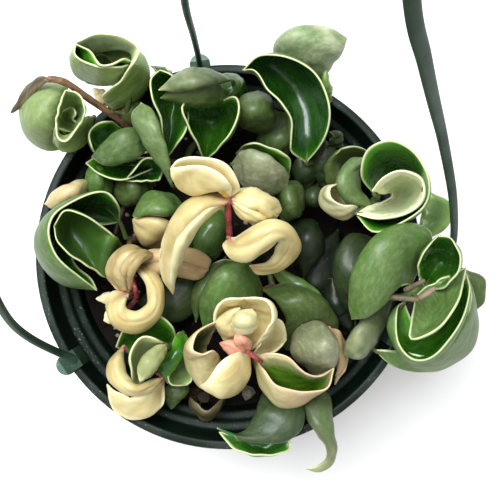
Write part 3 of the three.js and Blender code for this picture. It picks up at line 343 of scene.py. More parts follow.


# %% [markdown]
# The tones are mixed for groups of leaves: new growth is paler, those at the rim take a bluish bloom, and
# blushed ones turn cream and pink outside. Old leaves in the shade of others take olive, a duller green with
# painted shade in it; dim and shade are darker copies of the green skin, painted shade for leaves deep in
# the shade of others. A turned skin is for a blade whose glossy face is the one that its curves call the
# outer one.

# %% Tones
SKINS = {
    "green": leaf_skin("skin_green", "#29640f", "#5b9c24", "#4d682f", "#738658", "#c6ce9c"),
    "turned_green": leaf_skin(
        "skin_turned_green", "#327816", "#5b9c24", "#4d682f", "#738658", "#c6ce9c", turned=True
    ),
    "deep": leaf_skin("skin_deep", "#15430a", "#347015", "#4a6330", "#6e8155", "#c6ce9c"),
    "pale": leaf_skin("skin_pale", "#57783a", "#7c9a50", "#5e7143", "#83946a", "#cdd2a6"),
    "silvered": leaf_skin(
        "skin_silvered", "#57783a", "#7c9a50", "#6c7d56", "#9eab88", "#d6dab4", blush="#c9cfa8"
    ),
    "streaked": leaf_skin(
        "skin_streaked", "#57783a", "#7c9a50", "#455234", "#636f4d", "#c3c997", blush="#a3a67c"
    ),
    # Painted shade in part: olive is a duller green, darkened for leaves in the shade of others.
    "olive": leaf_skin("skin_olive", "#2d4d13", "#4c741e", "#435427", "#637348", "#a9b383", 0.45),
    "moss": leaf_skin("skin_moss", "#38561d", "#4f7029", "#455a2d", "#6b7d54", "#c6ce9c", gloss=0.45),
    # Painted shade: dim and shade are darker copies of the green skin for leaves deep in the shade of
    # others.
    "dim": leaf_skin("skin_dim", "#16300b", "#2b5212", "#26341a", "#3e4c2b", "#7f8b60", 0.4),
    "shade": leaf_skin("skin_shade", "#0c1c07", "#18300b", "#141e0c", "#232d19", "#66724c", 0.35),
    "blue": leaf_skin("skin_blue", "#173d1c", "#286430", "#2e3e22", "#49573a", "#9cab82", 0.45),
    "ringed": leaf_skin(
        "skin_ringed", "#a0b378", "#ccd8a2", "#739447", "#95ab6c", "#d8dcac", 3.4, "#7b9060", gloss=0.2
    ),
    "snail": leaf_skin(
        "skin_snail", "#788f54", "#9db76c", "#6d7f4c", "#93a272", "#ccd1a6", 0.9, "#50663a", gloss=0.4
    ),
    "ring_wall": leaf_skin("skin_ring_wall", "#29640f", "#5b9c24", "#7b954d", "#a1b678", "#ccd1a6"),
    "celery": leaf_skin(
        "skin_celery", "#969a68", "#aaab7a", "#5e7143", "#83946a", "#cfd0a2", 1.2, "#7f8a58", gloss=0.3
    ),
    "bulb": leaf_skin("skin_bulb", "#6b7b4a", "#7c9a50", "#74795a", "#a09f84", "#d0c4a2", 1.2),
    "blush": leaf_skin(
        "skin_blush", "#4d7a18", "#7ba02c", "#b8ab7a", "#ccc096", "#dcc5a0", 4.2, blush="#d0957a"
    ),
    "milky": leaf_skin(
        "skin_milky", "#7f9463", "#a3b284", "#6f8153", "#96a47a", "#f4f2cc", 10.0, "#6c8053", gloss=0.3
    ),
    "cream": cream_skin("skin_cream", "#c8bb85", "#dbd2a8", "#b09a63", "#cf8a6e", "#e6dcb6", 0.5),
    "butter": cream_skin("skin_butter", "#cec18c", "#dfd7ae", "#bda973", "#cf8a6e", "#e6dcb6", 0.5, 0.1),
    "fawn": cream_skin("skin_fawn", "#ae9b6d", "#c5b68b", "#937e51", "#bf7d63", "#d8cba2", 0.5),
    "custard": cream_skin("skin_custard", "#e6da9e", "#eee6bf", "#cfb97c", "#cf8a6e", "#eae2bd", 0.5),
    "oat": cream_skin("skin_oat", "#bfae79", "#d2c59a", "#ab9762", "#cf8a6e", "#dfd4aa", 0.5, 0.1),
    "pale_cream": cream_skin(
        "skin_pale_cream", "#d6d2a2", "#e2dfbc", "#c3b885", "#cf9f7c", "#ddd6b2", 0.6, 0.1
    ),
    "pink": cream_skin("skin_pink", "#d2957b", "#dbab91", "#c2806a", "#c27464", "#dcb39a"),
    "tan": cream_skin("skin_tan", "#b89d74", "#ccb792", "#9d845e", "#b3826a", "#cfbb94"),
    "gold": cream_skin("skin_gold", "#d4b046", "#dfc571", "#c2993a", "#d2964e", "#dfc983"),
    "dry": cream_skin("skin_dry", "#4f472c", "#655d40", "#38301f", "#352a1e", "#625a3c", 0.3),
}
print(len(SKINS), "leaf finishes")

# %% [markdown]
# ## Curves and pieces
# Each leaf is laid out by three curves: its midrib and its two margins. Blender's own curve objects could
# carry them, but the blade between them has to be computed anyway, so plain arrays of points are simpler.
# Two kinds of curve are used: an even one for leaves, and the centripetal one for stems and hanger arms,
# which never overshoots where points lie close together.


# %% Smooth curves
def evenly(points, count):
    """Points at equal distances along a line of points."""
    steps = np.linalg.norm(np.diff(points, axis=0), axis=1)
    walked = np.concatenate([[0.0], np.cumsum(steps)])
    wanted = np.linspace(0, walked[-1], count)
    return np.stack([np.interp(wanted, walked, points[:, k]) for k in range(3)], axis=1)


def leaf_curve(points, count):
    """The curve of a midrib or margin."""
    points = np.array(points)
    if len(points) == 2:
        return evenly(points, count)
    ends = np.vstack([2 * points[0] - points[1], points, 2 * points[-1] - points[-2]])
    u = np.linspace(0, 1, 20, endpoint=False)[:, None]
    line = []
    for a, b, c, d in zip(ends, ends[1:], ends[2:], ends[3:]):
        bend = (2 * a - 5 * b + 4 * c - d) * u**2 + (3 * b - a - 3 * c + d) * u**3
        line.append(0.5 * (2 * b + (c - a) * u + bend))
    return evenly(np.vstack([*line, points[-1:]]), count)


def rod_curve(points, count):
    """The curve of a stem or a hanger arm."""
    points = np.array(points)
    ends = np.vstack([2 * points[0] - points[1], points, 2 * points[-1] - points[-2]])
    u = np.linspace(0, 1, 24, endpoint=False)[:, None]
    line = []
    for a, b, c, d in zip(ends, ends[1:], ends[2:], ends[3:]):
        ab, bc, cd = (math.sqrt(np.linalg.norm(q - p)) for p, q in ((a, b), (b, c), (c, d)))
        leave = bc * ((b - a) / ab - (c - a) / (ab + bc) + (c - b) / bc)
        reach = bc * ((c - b) / bc - (d - b) / (bc + cd) + (d - c) / cd)
        rise = (-3 * b + 3 * c - 2 * leave - reach) * u**2
        line.append(b + leave * u + rise + (2 * b - 2 * c + leave + reach) * u**3)
    return evenly(np.vstack([*line, points[-1:]]), count)


print("test curve length", round(float(np.ptp(rod_curve([(0, 0, 0), (1, 0, 0), (2, 0, 0)], 9)[:, 0])), 3))

# %% [markdown]
# A piece gathers vertices and faces from many small parts: blades, stalks, stems. Blender's mesh builder
# takes them all at once, which is far quicker than joining objects. Two vectors ride on each vertex for
# the skins: blade holds place along the part, millimetres from the margin and the face; grain holds
# distances over the surface and a number that differs from leaf to leaf.


# %% A piece made of many parts
class Piece:
    """Points, faces, skins and surface vectors of one object."""

    def __init__(self, name):
        self.name = name
        self.points, self.faces, self.which, self.skins = [], [], [], []
        self.blade, self.grain = [], []
        self.count = 0

    def add(self, points, faces, skin, blade=None, grain=None):
        """Takes in one part; its faces count from its own first point."""
        points = np.asarray(points, float)
        if skin not in self.skins:
            self.skins.append(skin)
        self.points.append(points)
        self.faces += [tuple(v + self.count for v in face) for face in faces]
        self.which += [self.skins.index(skin)] * len(faces)
        self.blade.append(np.zeros_like(points) if blade is None else blade)
        self.grain.append(points if grain is None else grain)
        self.count += len(points)

    def build(self, node=None, crease=45):
        """Makes the object; with a node it rides the root body and takes that node's place."""
        mesh = bpy.data.meshes.new(self.name)
        mesh.from_pydata(np.vstack(self.points).tolist(), [], self.faces)
        for skin in self.skins:
            mesh.materials.append(skin)
        mesh.polygons.foreach_set("material_index", self.which)
        mesh.polygons.foreach_set("use_smooth", [True] * len(self.faces))
        for name, rows in (("blade", self.blade), ("grain", self.grain)):
            kept = mesh.attributes.new(name, "FLOAT_VECTOR", "POINT")
            kept.data.foreach_set("vector", np.vstack(rows).astype(np.float32).ravel())
        mesh.set_sharp_from_angle(angle=math.radians(crease))
        made = bpy.data.objects.new(self.name, mesh)
        bpy.context.scene.collection.objects.link(made)
        if node:
            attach(made, "root")
            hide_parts(node)
        print(self.name, len(self.points), "parts,", len(self.faces), "faces")
        return made


def rings_to_faces(rows, around):
    """The faces of a tube of rings, with a cap at each end."""
    faces = []
    for i in range(rows - 1):
        for j in range(around):
            k = (j + 1) % around
            faces.append((i * around + j, i * around + k, (i + 1) * around + k, (i + 1) * around + j))
    faces.append(tuple(reversed(range(around))))
    faces.append(tuple((rows - 1) * around + j for j in range(around)))
    return faces


# %% [markdown]
# Stems, stalks, hanger arms and the hook are all tubes. The section is carried along the path so that it
# doesn't twist: each ring's side direction is the last one, made square to the new direction.


# %% Tubes along a path
def tube(path, width, thickness, around=12, side=None):
    """Rings of an oval section along the path: width and thickness may change along it."""
    path = np.asarray(path)
    rows = len(path)
    width = np.broadcast_to(width, rows)
    thickness = np.broadcast_to(thickness, rows)
    heading = np.gradient(path, axis=0)
    heading /= np.linalg.norm(heading, axis=1, keepdims=True)
    if side is None:
        side = np.cross(heading[0], (0.3, 0.5, 0.81))
    turn = np.linspace(0, 2 * math.pi, around, endpoint=False)
    points, grain = [], []
    walked = np.concatenate([[0.0], np.cumsum(np.linalg.norm(np.diff(path, axis=0), axis=1))])
    for k in range(rows):
        side = side - heading[k] * np.dot(side, heading[k])
        side = side / np.linalg.norm(side)
        up = np.cross(heading[k], side)
        ring = np.outer(np.cos(turn) * width[k] / 2, side) + np.outer(np.sin(turn) * thickness[k] / 2, up)
        points.append(path[k] + ring)
        lie = np.zeros((around, 3))
        lie[:, 0] = walked[k]
        lie[:, 1] = np.sin(turn) * width[k] / 2
        grain.append(lie)
    return np.vstack(points), rings_to_faces(rows, around), np.vstack(grain)


# %% [markdown]
# ## One leaf
# Across the blade, the surface follows part of an ellipse through the left margin, the midrib and the
# right margin. A half angle of 90 degrees gives a half pipe, and more than that lets the margins turn in
# again, which is how these leaves curl into snails and bowls. Thickness goes on along the normal: thick
# in the middle, thinner at a rounded margin. A slow, seeded wave keeps the surface from looking machined.

# %% The blade between a midrib and two margins
HALF_THICKNESS = 0.9 * MM
CREAM_HALF_THICKNESS = 1.25 * MM
MARGIN_ROUND = ((40, 0.85), (90, 0.5), (140, 0.15))
# How often a thick cream leaf is grooved: 0.5 is once down the middle, and 1.0 thins its margins too.
CREASES = {"cream": 0.5, "custard": 0.5, "tan": 0.5, "fawn": 1.0}
CREASE_DEPTH, CREASE_DRIFT, CREASE_SHARPNESS = 0.62, 0.12, 2.5
ROW_LENGTH = 1.25 * MM
FEWEST_ROWS, MOST_ROWS = 22, 58
FEWEST_COLUMNS, MOST_COLUMNS = 13, 25
WAVE = 0.5 * MM
SEEDS = 60


def blade_surface(cup, bow, midrib, left, right, rows, columns, chance):
    """The middle surface of a blade and its normals, each as rows by columns by three."""
    base, tip = seen(midrib[0]), seen(midrib[-1])
    middle = leaf_curve([seen(p) for p in midrib], rows)[:, None]
    left = leaf_curve([base, *map(seen, left), tip], rows)[:, None]
    right = leaf_curve([base, *map(seen, right), tip], rows)[:, None]
    half = math.radians(cup)
    s = np.linspace(-1, 1, columns)[None, :, None]
    t = np.linspace(0, 1, rows)[:, None, None]
    across = np.sin(half * s) / math.sin(half) / 2
    rise = (1 - np.cos(half * s)) / (1 - math.cos(half))
    surface = middle + (right - left) * across + ((left + right) / 2 - middle) * rise
    fullness = np.sin(math.pi * t) ** 0.7
    swell = bow * MM * 4 * abs(s) * (1 - abs(s)) * fullness
    a, b, c, d = (chance.uniform(0, 6.3) for _ in range(4))
    slow, quick = chance.uniform(1.6, 2.6), chance.uniform(4.0, 6.5)
    wave = np.sin(6.3 * slow * t + 2 * s + a) * np.sin(2.2 * s + b)
    wave = wave + 0.45 * np.sin(6.3 * quick * t + c + 3 * s) * np.sin(4 * s + d)
    surface = surface + normals(surface) * (swell + WAVE * wave * fullness)
    return surface, normals(surface)


def normals(surface):
    """Unit normals; the ends, where the blade narrows to nothing, take those of the nearest wide row."""
    along = np.gradient(surface, axis=0)
    across = np.gradient(surface, axis=1)
    normal = np.cross(along, -across)
    normal /= np.linalg.norm(normal, axis=2, keepdims=True) + 1e-12
    near = max(1, len(surface) // 12)
    normal[:near] = normal[near]
    normal[-near:] = normal[-near - 1]
    return normal


def add_blade(piece, tone, cup, bow, midrib, left, right, chance):
    """Adds a closed blade with rounded margins."""
    length = np.ptp(leaf_curve([seen(p) for p in midrib], 40), axis=0).sum()
    rows = int(np.clip(length / ROW_LENGTH, FEWEST_ROWS, MOST_ROWS))
    columns = int(np.clip(rows * 0.5, FEWEST_COLUMNS, MOST_COLUMNS)) | 1
    surface, normal = blade_surface(cup, bow, midrib, left, right, rows, columns, chance)
    s = np.linspace(-1, 1, columns)
    t = np.linspace(0, 1, rows)
    body = 0.4 + 0.6 * np.sqrt(np.sin(math.pi * t))
    half = HALF_THICKNESS * np.outer(body, 1 - 0.5 * abs(s) ** 3)[:, :, None]
    if tone in CREASES:
        often = CREASES[tone]
        drift = np.outer(CREASE_DRIFT * np.sin(5 * t + chance.uniform(0, 6.3)), abs(s))
        crease = (1 - abs(np.sin(math.pi * (often * s + drift)))) ** (CREASE_SHARPNESS / often)
        half = half * (CREAM_HALF_THICKNESS / HALF_THICKNESS) * (1 - CREASE_DEPTH * crease)[:, :, None]
    step = np.linalg.norm(np.diff(surface, axis=1), axis=2)
    walked = np.concatenate([np.zeros((rows, 1)), np.cumsum(step, axis=1)], axis=1)
    to_margin = np.minimum(walked, walked[:, -1:] - walked) / MM
    spread = walked - walked[:, -1:] / 2
    seed = chance.uniform(0, SEEDS)

    loops, edges, faces_of, spreads = [], [], [], []

    def lay(points, distance, face, across):
        """Puts the next columns side by side with the last ones, round the blade's section."""
        loops.append(points)
        edges.append(distance)
        faces_of.append(np.full(distance.shape, face))
        spreads.append(across)

    lay(surface + normal * half, to_margin, 1.0, spread)
    for column, inner, start in ((-1, -2, 0), (0, 1, 180)):
        out = surface[:, column] - surface[:, inner]
        out /= np.linalg.norm(out, axis=1, keepdims=True) + 1e-12
        for degrees, face in MARGIN_ROUND:
            angle = math.radians(degrees)
            if start:
                angle, face = math.pi - angle, 1 - face
            lift = half[:, column] * (normal[:, column] * math.cos(angle) + out * math.sin(angle))
            lay((surface[:, column] + lift)[:, None], np.zeros((rows, 1)), face, spread[:, column, None])
        if not start:
            lay((surface - normal * half)[:, ::-1], to_margin[:, ::-1], 0.0, spread[:, ::-1])

    points = np.concatenate(loops, axis=1)
    around = points.shape[1]
    blade = np.zeros((rows, around, 3))
    blade[..., 0] = t[:, None]
    blade[..., 1] = np.concatenate(edges, axis=1)
    blade[..., 2] = np.concatenate(faces_of, axis=1)
    grain = np.zeros((rows, around, 3))
    grain[..., 0] = (t * length)[:, None]
    grain[..., 1] = np.concatenate(spreads, axis=1)
    grain[..., 2] = seed
    faces = rings_to_faces(rows, around)
    skin = SKINS[tone]
    piece.add(points.reshape(-1, 3), faces, skin, blade.reshape(-1, 3), grain.reshape(-1, 3))


print("a blade has up to", MOST_ROWS * 2 * (MOST_COLUMNS + len(MARGIN_ROUND)), "vertices")

# %% [markdown]
# ## A vine
# A vine is a few stems with leaves on short thick stalks. A stalk starts at the nearest point of a stem
# that is above the soil and runs into the midrib's first part, where it thins out under the blade. The
# leaves of one vine become one object, because on the real plant they are one living thing.

# %% The skin of stems and stalks
def stem_skin(name, young, old, spot):
    """Soft bark: young colour, older patches and small pale lenticels."""
    skin = Finish(name)
    lie, _, _, seed = skin.read("grain")
    patch = skin.grainy(lie, seed, 160.0, 260.0, 3.0, 0.6)
    dots = skin.grainy(lie, seed, 1100.0, 1500.0, 1.0, 0.5)
    colour = skin.blend(patch.ramp(0.4, 0.65), young, old)
    colour = skin.blend(dots.ramp(0.64, 0.72) * 0.6, colour, spot)
    normal = skin.bump(patch, 0.3, 0.0006)
    normal = skin.bump(dots, 0.25, 0.0003, normal)
    return skin.set(
        Base_Color=colour, Roughness=0.5 + patch * 0.2, Normal=normal, Specular_IOR_Level=0.4
    )


BARK = {
    "green": stem_skin("bark_green", "#526a33", "#584d2f", "#8c8967"),
    "brown": stem_skin("bark_brown", "#7b5a40", "#4f3828", "#a98c6c"),
    "red": stem_skin("bark_red", "#9a3e42", "#6a2628", "#c88f7c"),
    "pink": stem_skin("bark_pink", "#c58477", "#9b5a50", "#e3b7a4"),
    "husk": stem_skin("bark_husk", "#655d46", "#453d2e", "#8a8068"),
    "rosy": stem_skin("bark_rosy", "#8d7a69", "#6a584a", "#ab9a8a"),
    "peat": stem_skin("bark_peat", "#41351f", "#2a2013", "#675738"),
}
STALKS = dict.fromkeys(("cream", "butter", "custard", "oat", "fawn", "pale_cream", "tan", "gold"), "pink")
STALKS.update(pink="red", dry="brown")
print(len(BARK), "bark finishes")

# %% Building a vine from its stems and leaves
STALK_FLOOR = (RIM_HEIGHT - 18) * MM
STALK_RINGS = 16
STALK_PLACES, STALK_WIDTHS = (0, 0.3, 0.6, 0.8, 1), (3.0, 2.5, 2.2, 1.7, 0.7)
STEM_RINGS_A_POINT = 12
KNOT_SWELL, KNOT_LENGTH = 0.12, 0.12
HEIGHT_WEIGHT = 0.45
LEAF_CREASE = 60


def add_stem(piece, bark, radius, route, chance):
    """Adds a stem with swollen knots, thinner towards its tip, and gives its path."""
    path = rod_curve([seen(p) for p in route], STEM_RINGS_A_POINT * len(route))
    t = np.linspace(0, 1, len(path))
    knots = KNOT_SWELL * np.exp(-(((t * len(route)) % 1 - 0.5) / KNOT_LENGTH) ** 2)
    size = 2 * radius * MM * (1.08 - 0.16 * t + knots)
    size[-2:] *= (0.8, 0.4)
    points, faces, grain = tube(path, size, size, 12)
    grain[:, 2] = chance.uniform(0, SEEDS)
    piece.add(points, faces, BARK[bark], None, grain)
    return path


def add_stalk(piece, tone, paths, midrib, chance):
    """Adds a stalk from the nearest stem into the midrib."""
    base = seen(midrib[0])
    places = np.vstack(paths)
    places = places[places[:, 2] > STALK_FLOOR]
    root = places[np.argmin(np.linalg.norm((places - base) * (1, 1, HEIGHT_WEIGHT), axis=1))]
    spine = leaf_curve([seen(p) for p in midrib], 60)
    path = rod_curve([root, base, spine[4], spine[8]], STALK_RINGS)
    size = np.interp(np.linspace(0, 1, STALK_RINGS), STALK_PLACES, STALK_WIDTHS) * MM
    points, faces, grain = tube(path, size, size * 0.9, 12)
    grain[:, 2] = chance.uniform(0, SEEDS)
    piece.add(points, faces, BARK[STALKS.get(tone, "green")], None, grain)


def vine(node, stems, leaves, stubs=()):
    """One object for a vine. stubs are short bare ends that carry no leaf."""
    chance = random.Random(node)
    piece = Piece(node + "_leaves")
    paths = [add_stem(piece, *stem, chance) for stem in stems]
    for stub in stubs:
        add_stem(piece, *stub, chance)
    for tone, cup, bow, midrib, left, right in leaves:
        if paths:
            add_stalk(piece, tone, paths, midrib, chance)
        add_blade(piece, tone, cup, bow, midrib, left, right, chance)
    piece.build(node, LEAF_CREASE)


# %% [markdown]
# ## The vine with the ring leaf
# At the back left, one leaf has rolled up until its margins nearly close into a ring, open to the sky.
# Seen from above it is a well with a wide cream rim. It could be sculpted from a torus, but the margins
# are what the eye follows, so the leaf is given by them: each curve winds once round the well.

# %% The vine with the ring leaf
vine(
    "vine_ring_leaf",
    stems=[("green", 1.7, [(150, 150, -37), (146, 140, -14), (140, 124, -4), (126, 114, 3)])],
    leaves=[
        ("ringed", 95, 0,
         [(112, 110, 6), (136, 96, 10), (146, 74, 16), (140, 54, 12), (114, 48, 6), (92, 52, 12),
          (77, 42, 40)],
         [(122, 108, 0), (135, 88, 2), (128, 70, 0), (110, 60, 2), (92, 62, 12)],
         [(103, 96, 20), (119, 82, 32), (136, 59, 42), (138, 46, 44), (118, 36, 44), (97, 34, 42)]),
        ("ring_wall", 95, 0,
         [(137, 64, 27), (122, 80, 18), (96, 84, 14), (76, 74, 18), (72, 58, 28), (76, 44, 40)],
         [(122, 66, 40), (98, 67, 42), (84, 61, 42), (75, 54, 42)],
         [(125, 60, 42), (104, 65, 44), (96, 60, 44), (88, 50, 42)]),
        ("olive", 100, 0, [(146, 120, -6), (135, 110, 4), (120, 108, 4), (113, 116, -2)],
         [(138, 99, -2), (120, 99, -2)], [(140, 127, -6), (124, 125, -4)]),
        ("butter", 90, 0, [(112, 106, 4), (100, 97, 10), (93, 88, 12)], [(99, 103, 7)], [(104, 91, 7)]),
        ("olive", 80, 0, [(124, 82, 4), (108, 72, 3), (90, 60, 8)], [(114, 62, 6), (100, 54, 8)],
         [(116, 86, 4), (98, 78, 6)]),
    ],
)

# %% [markdown]
# ## The vine with the snail leaf
# Beside it, a long blade winds on like a snail shell. The outer margin lies low on the rim and the inner
# one stands high, which makes the wall of the shell. The last leaf in the list is its innermost turn.

# %% The vine with the snail leaf
vine(
    "vine_snail_leaf",
    stems=[("green", 1.6, [(132, 166, -37), (124, 156, -14), (106, 141, 0), (86, 133, 4)])],
    leaves=[
        ("snail", 105, 0,
         [(81, 136, 4), (54, 145, 10), (34, 126, 26), (36, 100, 31), (54, 88, 28), (68, 87, 20)],
         [(68, 136, 3), (61, 124, 16), (60, 110, 23), (66, 97, 24)],
         [(72, 144, 3), (48, 148, 2), (27, 130, 6), (27, 100, 9), (44, 85, 11), (58, 82, 12)]),
        ("snail", 100, 0, [(74, 134, 20), (70, 124, 16), (72, 112, 16), (66, 90, 34)],
         [(59, 128, 32), (58, 114, 38), (60, 102, 39)], [(80, 124, 30), (85, 110, 36), (80, 95, 38)]),
        ("snail", 95, 0, [(94, 116, 6), (88, 134, 10), (72, 143, 14), (60, 140, 20), (56, 122, 36)],
         [(92, 128, 4), (84, 142, 7), (68, 148, 10), (57, 143, 16)],
         [(84, 118, 26), (76, 131, 32), (66, 141, 36), (58, 137, 37)]),
        ("green", 100, 0, [(122, 128, 0), (108, 137, 3), (101, 148, 4), (97, 155, 12)],
         [(124, 134, 12), (114, 146, 14)], [(107, 121, 18), (91, 130, 20), (91, 146, 20)]),
        # Painted shade: a small, low leaf in the nearly black shade skin closes the gap between the turns.
        ("shade", 80, 0, [(86, 134, 0), (72, 124, 0), (60, 110, 2)], [(80, 120, 0), (68, 106, 2)],
         [(76, 138, 0), (62, 128, 0)]),
        ("snail", 100, 0, [(76, 132, 10), (66, 128, 14), (65, 116, 18), (73, 106, 20)],
         [(70, 137, 20), (60, 126, 24), (62, 112, 26)], [(78, 124, 20), (73, 119, 23), (75, 112, 26)]),
    ],
)

# %% [markdown]
# ## The withered stem
# An old shoot has dried. Its one leaf is thin, brown and rolled, and the bare stem stands out over the rim.
# A dry leaf takes the same blade as a living one and a different skin, brown and darker at its ends.

# %% The withered stem
vine(
    "withered_stem",
    stems=[
        ("brown", 1.7,
         [(141, 152, -37), (136, 138, -14), (123, 123, 6), (92, 101, 24), (64, 82, 36), (47, 78, 38)]),
    ],
    leaves=[
        ("dry", 90, 0, [(50, 80, 36), (38, 82, 32), (26, 96, 26), (11, 113, 20)],
         [(42, 85, 33), (30, 97, 26), (18, 109, 21)], [(40, 77, 31), (25, 90, 25), (15, 106, 21)]),
    ],
)

# %% [markdown]
# ## The vine at the west side
# Short leaves lie over one another like roof tiles, most with the satin outer face up and one with a cream
# and pink blush. Small leaves are the same model as large ones, with fewer points.

# %% The vine at the west side
vine(
    "vine_west",
    stems=[("green", 1.6, [(156, 186, -37), (150, 182, -18), (138, 176, -16), (120, 166, -14)])],
    leaves=[
        ("moss", 100, 0, [(152, 150, 4), (135, 142, 22), (115, 146, 24), (92, 157, 14)],
         [(140, 132, 14), (125, 131, 20), (108, 140, 18)],
         [(144, 153, 16), (124, 162, 18), (107, 166, 16)]),
        ("green", 95, 0, [(158, 166, -6), (135, 168, -8), (112, 168, -4), (86, 163, 10)],
         [(142, 173, 6), (122, 180, 10), (100, 174, 12)], [(145, 158, 0), (120, 160, 2), (98, 158, 6)]),
        ("deep", 95, 0, [(163, 172, -6), (152, 172, -4), (140, 174, 0), (126, 181, 6)],
         [(158, 180, 4), (142, 181, 8)], [(158, 160, 8), (144, 160, 14), (132, 172, 14)]),
        ("green", 100, 0, [(114, 188, -8), (101, 181, 6), (90, 180, 4), (84, 182, -2)],
         [(104, 168, -2), (90, 168, 0)], [(106, 196, -4), (90, 194, -4)]),
        ("olive", 100, 0, [(152, 194, -12), (134, 191, 2), (113, 192, -8)],
         [(140, 178, -6), (122, 178, -6)], [(140, 204, -10), (122, 204, -10)]),
        ("blush", 95, 0, [(90, 196, -8), (78, 191, 10), (60, 198, 12), (45, 204, 6)],
         [(86, 182, 0), (68, 184, 4), (52, 194, 5)], [(82, 203, -4), (66, 206, 0), (52, 208, 3)]),
    ],
    stubs=[("peat", 1.2, [(125, 205, -14), (119, 220, -8), (115, 235, -6)])],
)

# %% [markdown]
# ## The big cupped leaf
# This is the widest leaf at the left: a boat that shows its dark inside and a pale margin all round it. A
# duller, mossy leaf stands in it. The margins turn in past the upright, so the cup angle is over 90
# degrees.

# %% The vine with the big cupped leaf
vine(
    "vine_big_west_leaf",
    stems=[("brown", 1.7, [(140, 240, -37), (134, 240, -16), (126, 238, -10)])],
    leaves=[
        ("moss", 100, 0, [(126, 258, -8), (108, 254, 18), (90, 243, 14), (70, 229, 13), (54, 226, 31)],
         [(112, 278, 6), (92, 268, 22), (72, 256, 30), (58, 242, 32)],
         [(118, 240, 16), (100, 226, 28), (80, 214, 34), (64, 211, 34)]),
        ("deep", 100, 0,
         [(120, 222, -4), (104, 206, 3), (72, 210, 6), (46, 230, 9), (40, 258, 10), (62, 283, 11),
          (97, 290, 14)],
         [(110, 224, -6), (88, 228, -3), (72, 238, 1), (74, 262, 6), (90, 278, 11)],
         [(119, 206, 20), (106, 193, 28), (82, 198, 31), (56, 212, 33), (48, 232, 35), (56, 255, 32),
          (78, 275, 24)]),
    ],
)

# %% [markdown]
# ## The two-toned vine
# Two leaves share one stalk, one green and one all cream. Such a pair comes from one growing tip in which
# only some of the tissue makes green colour.

# %% The two-toned vine
vine(
    "vine_two_tone",
    stems=[("green", 1.5, [(188, 232, -37), (187, 226, -12), (185, 214, 2)])],
    leaves=[
        ("green", 95, 0, [(184, 207, 6), (165, 200, 24), (145, 202, 22), (133, 216, 14)],
         [(170, 194, 6), (145, 196, 8)], [(170, 215, 24), (150, 214, 26), (138, 218, 22)]),
        ("oat", 95, 1.2, [(176, 236, 0), (157, 234, 16), (142, 228, 18), (133, 219, 12)],
         [(162, 246, -2), (143, 242, 2)], [(168, 222, 18), (150, 218, 20), (140, 218, 16)]),
    ],
)

# %% [markdown]
# ## The vine at the back
# A stem runs out to the back rim and carries leaves arched like saddles. The outermost is young: its skin
# is pale and streaked, because new growth has not yet built up its wax and colour.

# %% The vine at the back
vine(
    "vine_north",
    stems=[
        ("green", 1.7,
         [(188, 178, -37), (186, 170, -16), (190, 150, -12), (215, 128, -12), (232, 106, -6),
          (234, 88, 6)]),
    ],
    leaves=[
        ("pale", 95, 0, [(172, 186, 10), (164, 160, 22), (152, 130, 30), (141, 103, 20)],
         [(169, 165, 18), (162, 140, 24), (152, 112, 24)],
         [(160, 166, 14), (143, 143, 20), (132, 118, 18)]),
        ("green", 100, 0, [(166, 158, 4), (170, 135, 2), (170, 110, 2), (167, 88, 8), (160, 70, 28)],
         [(163, 142, 18), (161, 118, 28), (152, 97, 34), (151, 80, 34)],
         [(177, 145, 14), (187, 127, 18), (184, 100, 16), (174, 78, 28)]),
        ("green", 105, 0, [(204, 162, 2), (210, 140, -4), (212, 120, -6), (209, 106, 4)],
         [(199, 148, 18), (188, 124, 28), (184, 104, 30)], [(220, 146, 24), (236, 124, 32), (236, 98, 30)]),
        ("olive", 100, 0, [(226, 98, 16), (205, 93, 33), (180, 93, 34), (161, 98, 30)],
         [(214, 80, 26), (185, 83, 28)], [(214, 105, 20), (185, 105, 24)]),
        ("streaked", 95, 0, [(232, 80, 22), (205, 76, 41), (180, 81, 42), (159, 90, 36)],
         [(205, 69, 31), (180, 73, 33)], [(205, 86, 38), (182, 91, 38)]),
        ("dim", 90, 0, [(173, 77, 24), (165, 72, 14), (151, 66, 14)], [(164, 76, 18)], [(165, 68, 12)]),
        ("olive", 100, 0, [(242, 108, -2), (237, 90, 14), (228, 80, 12), (216, 76, 8)],
         [(228, 104, 8), (219, 92, 10)], [(244, 92, 4), (238, 76, 4)]),
    ],
)

# %% [markdown]
# ## The ball leaf
# Here a leaf has closed into a ball with a seam. A sphere would look wrong at the seam, so two margins that
# almost meet close the ball, and the seam is simply the gap between them.

# %% The vine with the ball leaf
vine(
    "vine_ball_leaf",
    stems=[("green", 1.5, [(276, 166, -37), (274, 156, -16), (266, 142, -8)])],
    leaves=[
        ("olive", 105, 0, [(262, 136, -2), (256, 118, 22), (255, 104, 24), (258, 91, 12)],
         [(274, 120, 8), (270, 98, 10)], [(239, 122, 8), (242, 98, 10)]),
        ("olive", 100, 0, [(286, 158, -8), (280, 142, 4), (276, 124, 0), (274, 110, -8)],
         [(292, 142, -6), (290, 118, -8)], [(260, 148, -10), (262, 128, -8)]),
    ],
)

# %% [markdown]
# ## The crescent leaf
# A broad leaf bends round in a crescent and shows its glossy, deep green inside. The small leaves of this
# vine lie under it in the shade, so their skins are dim.

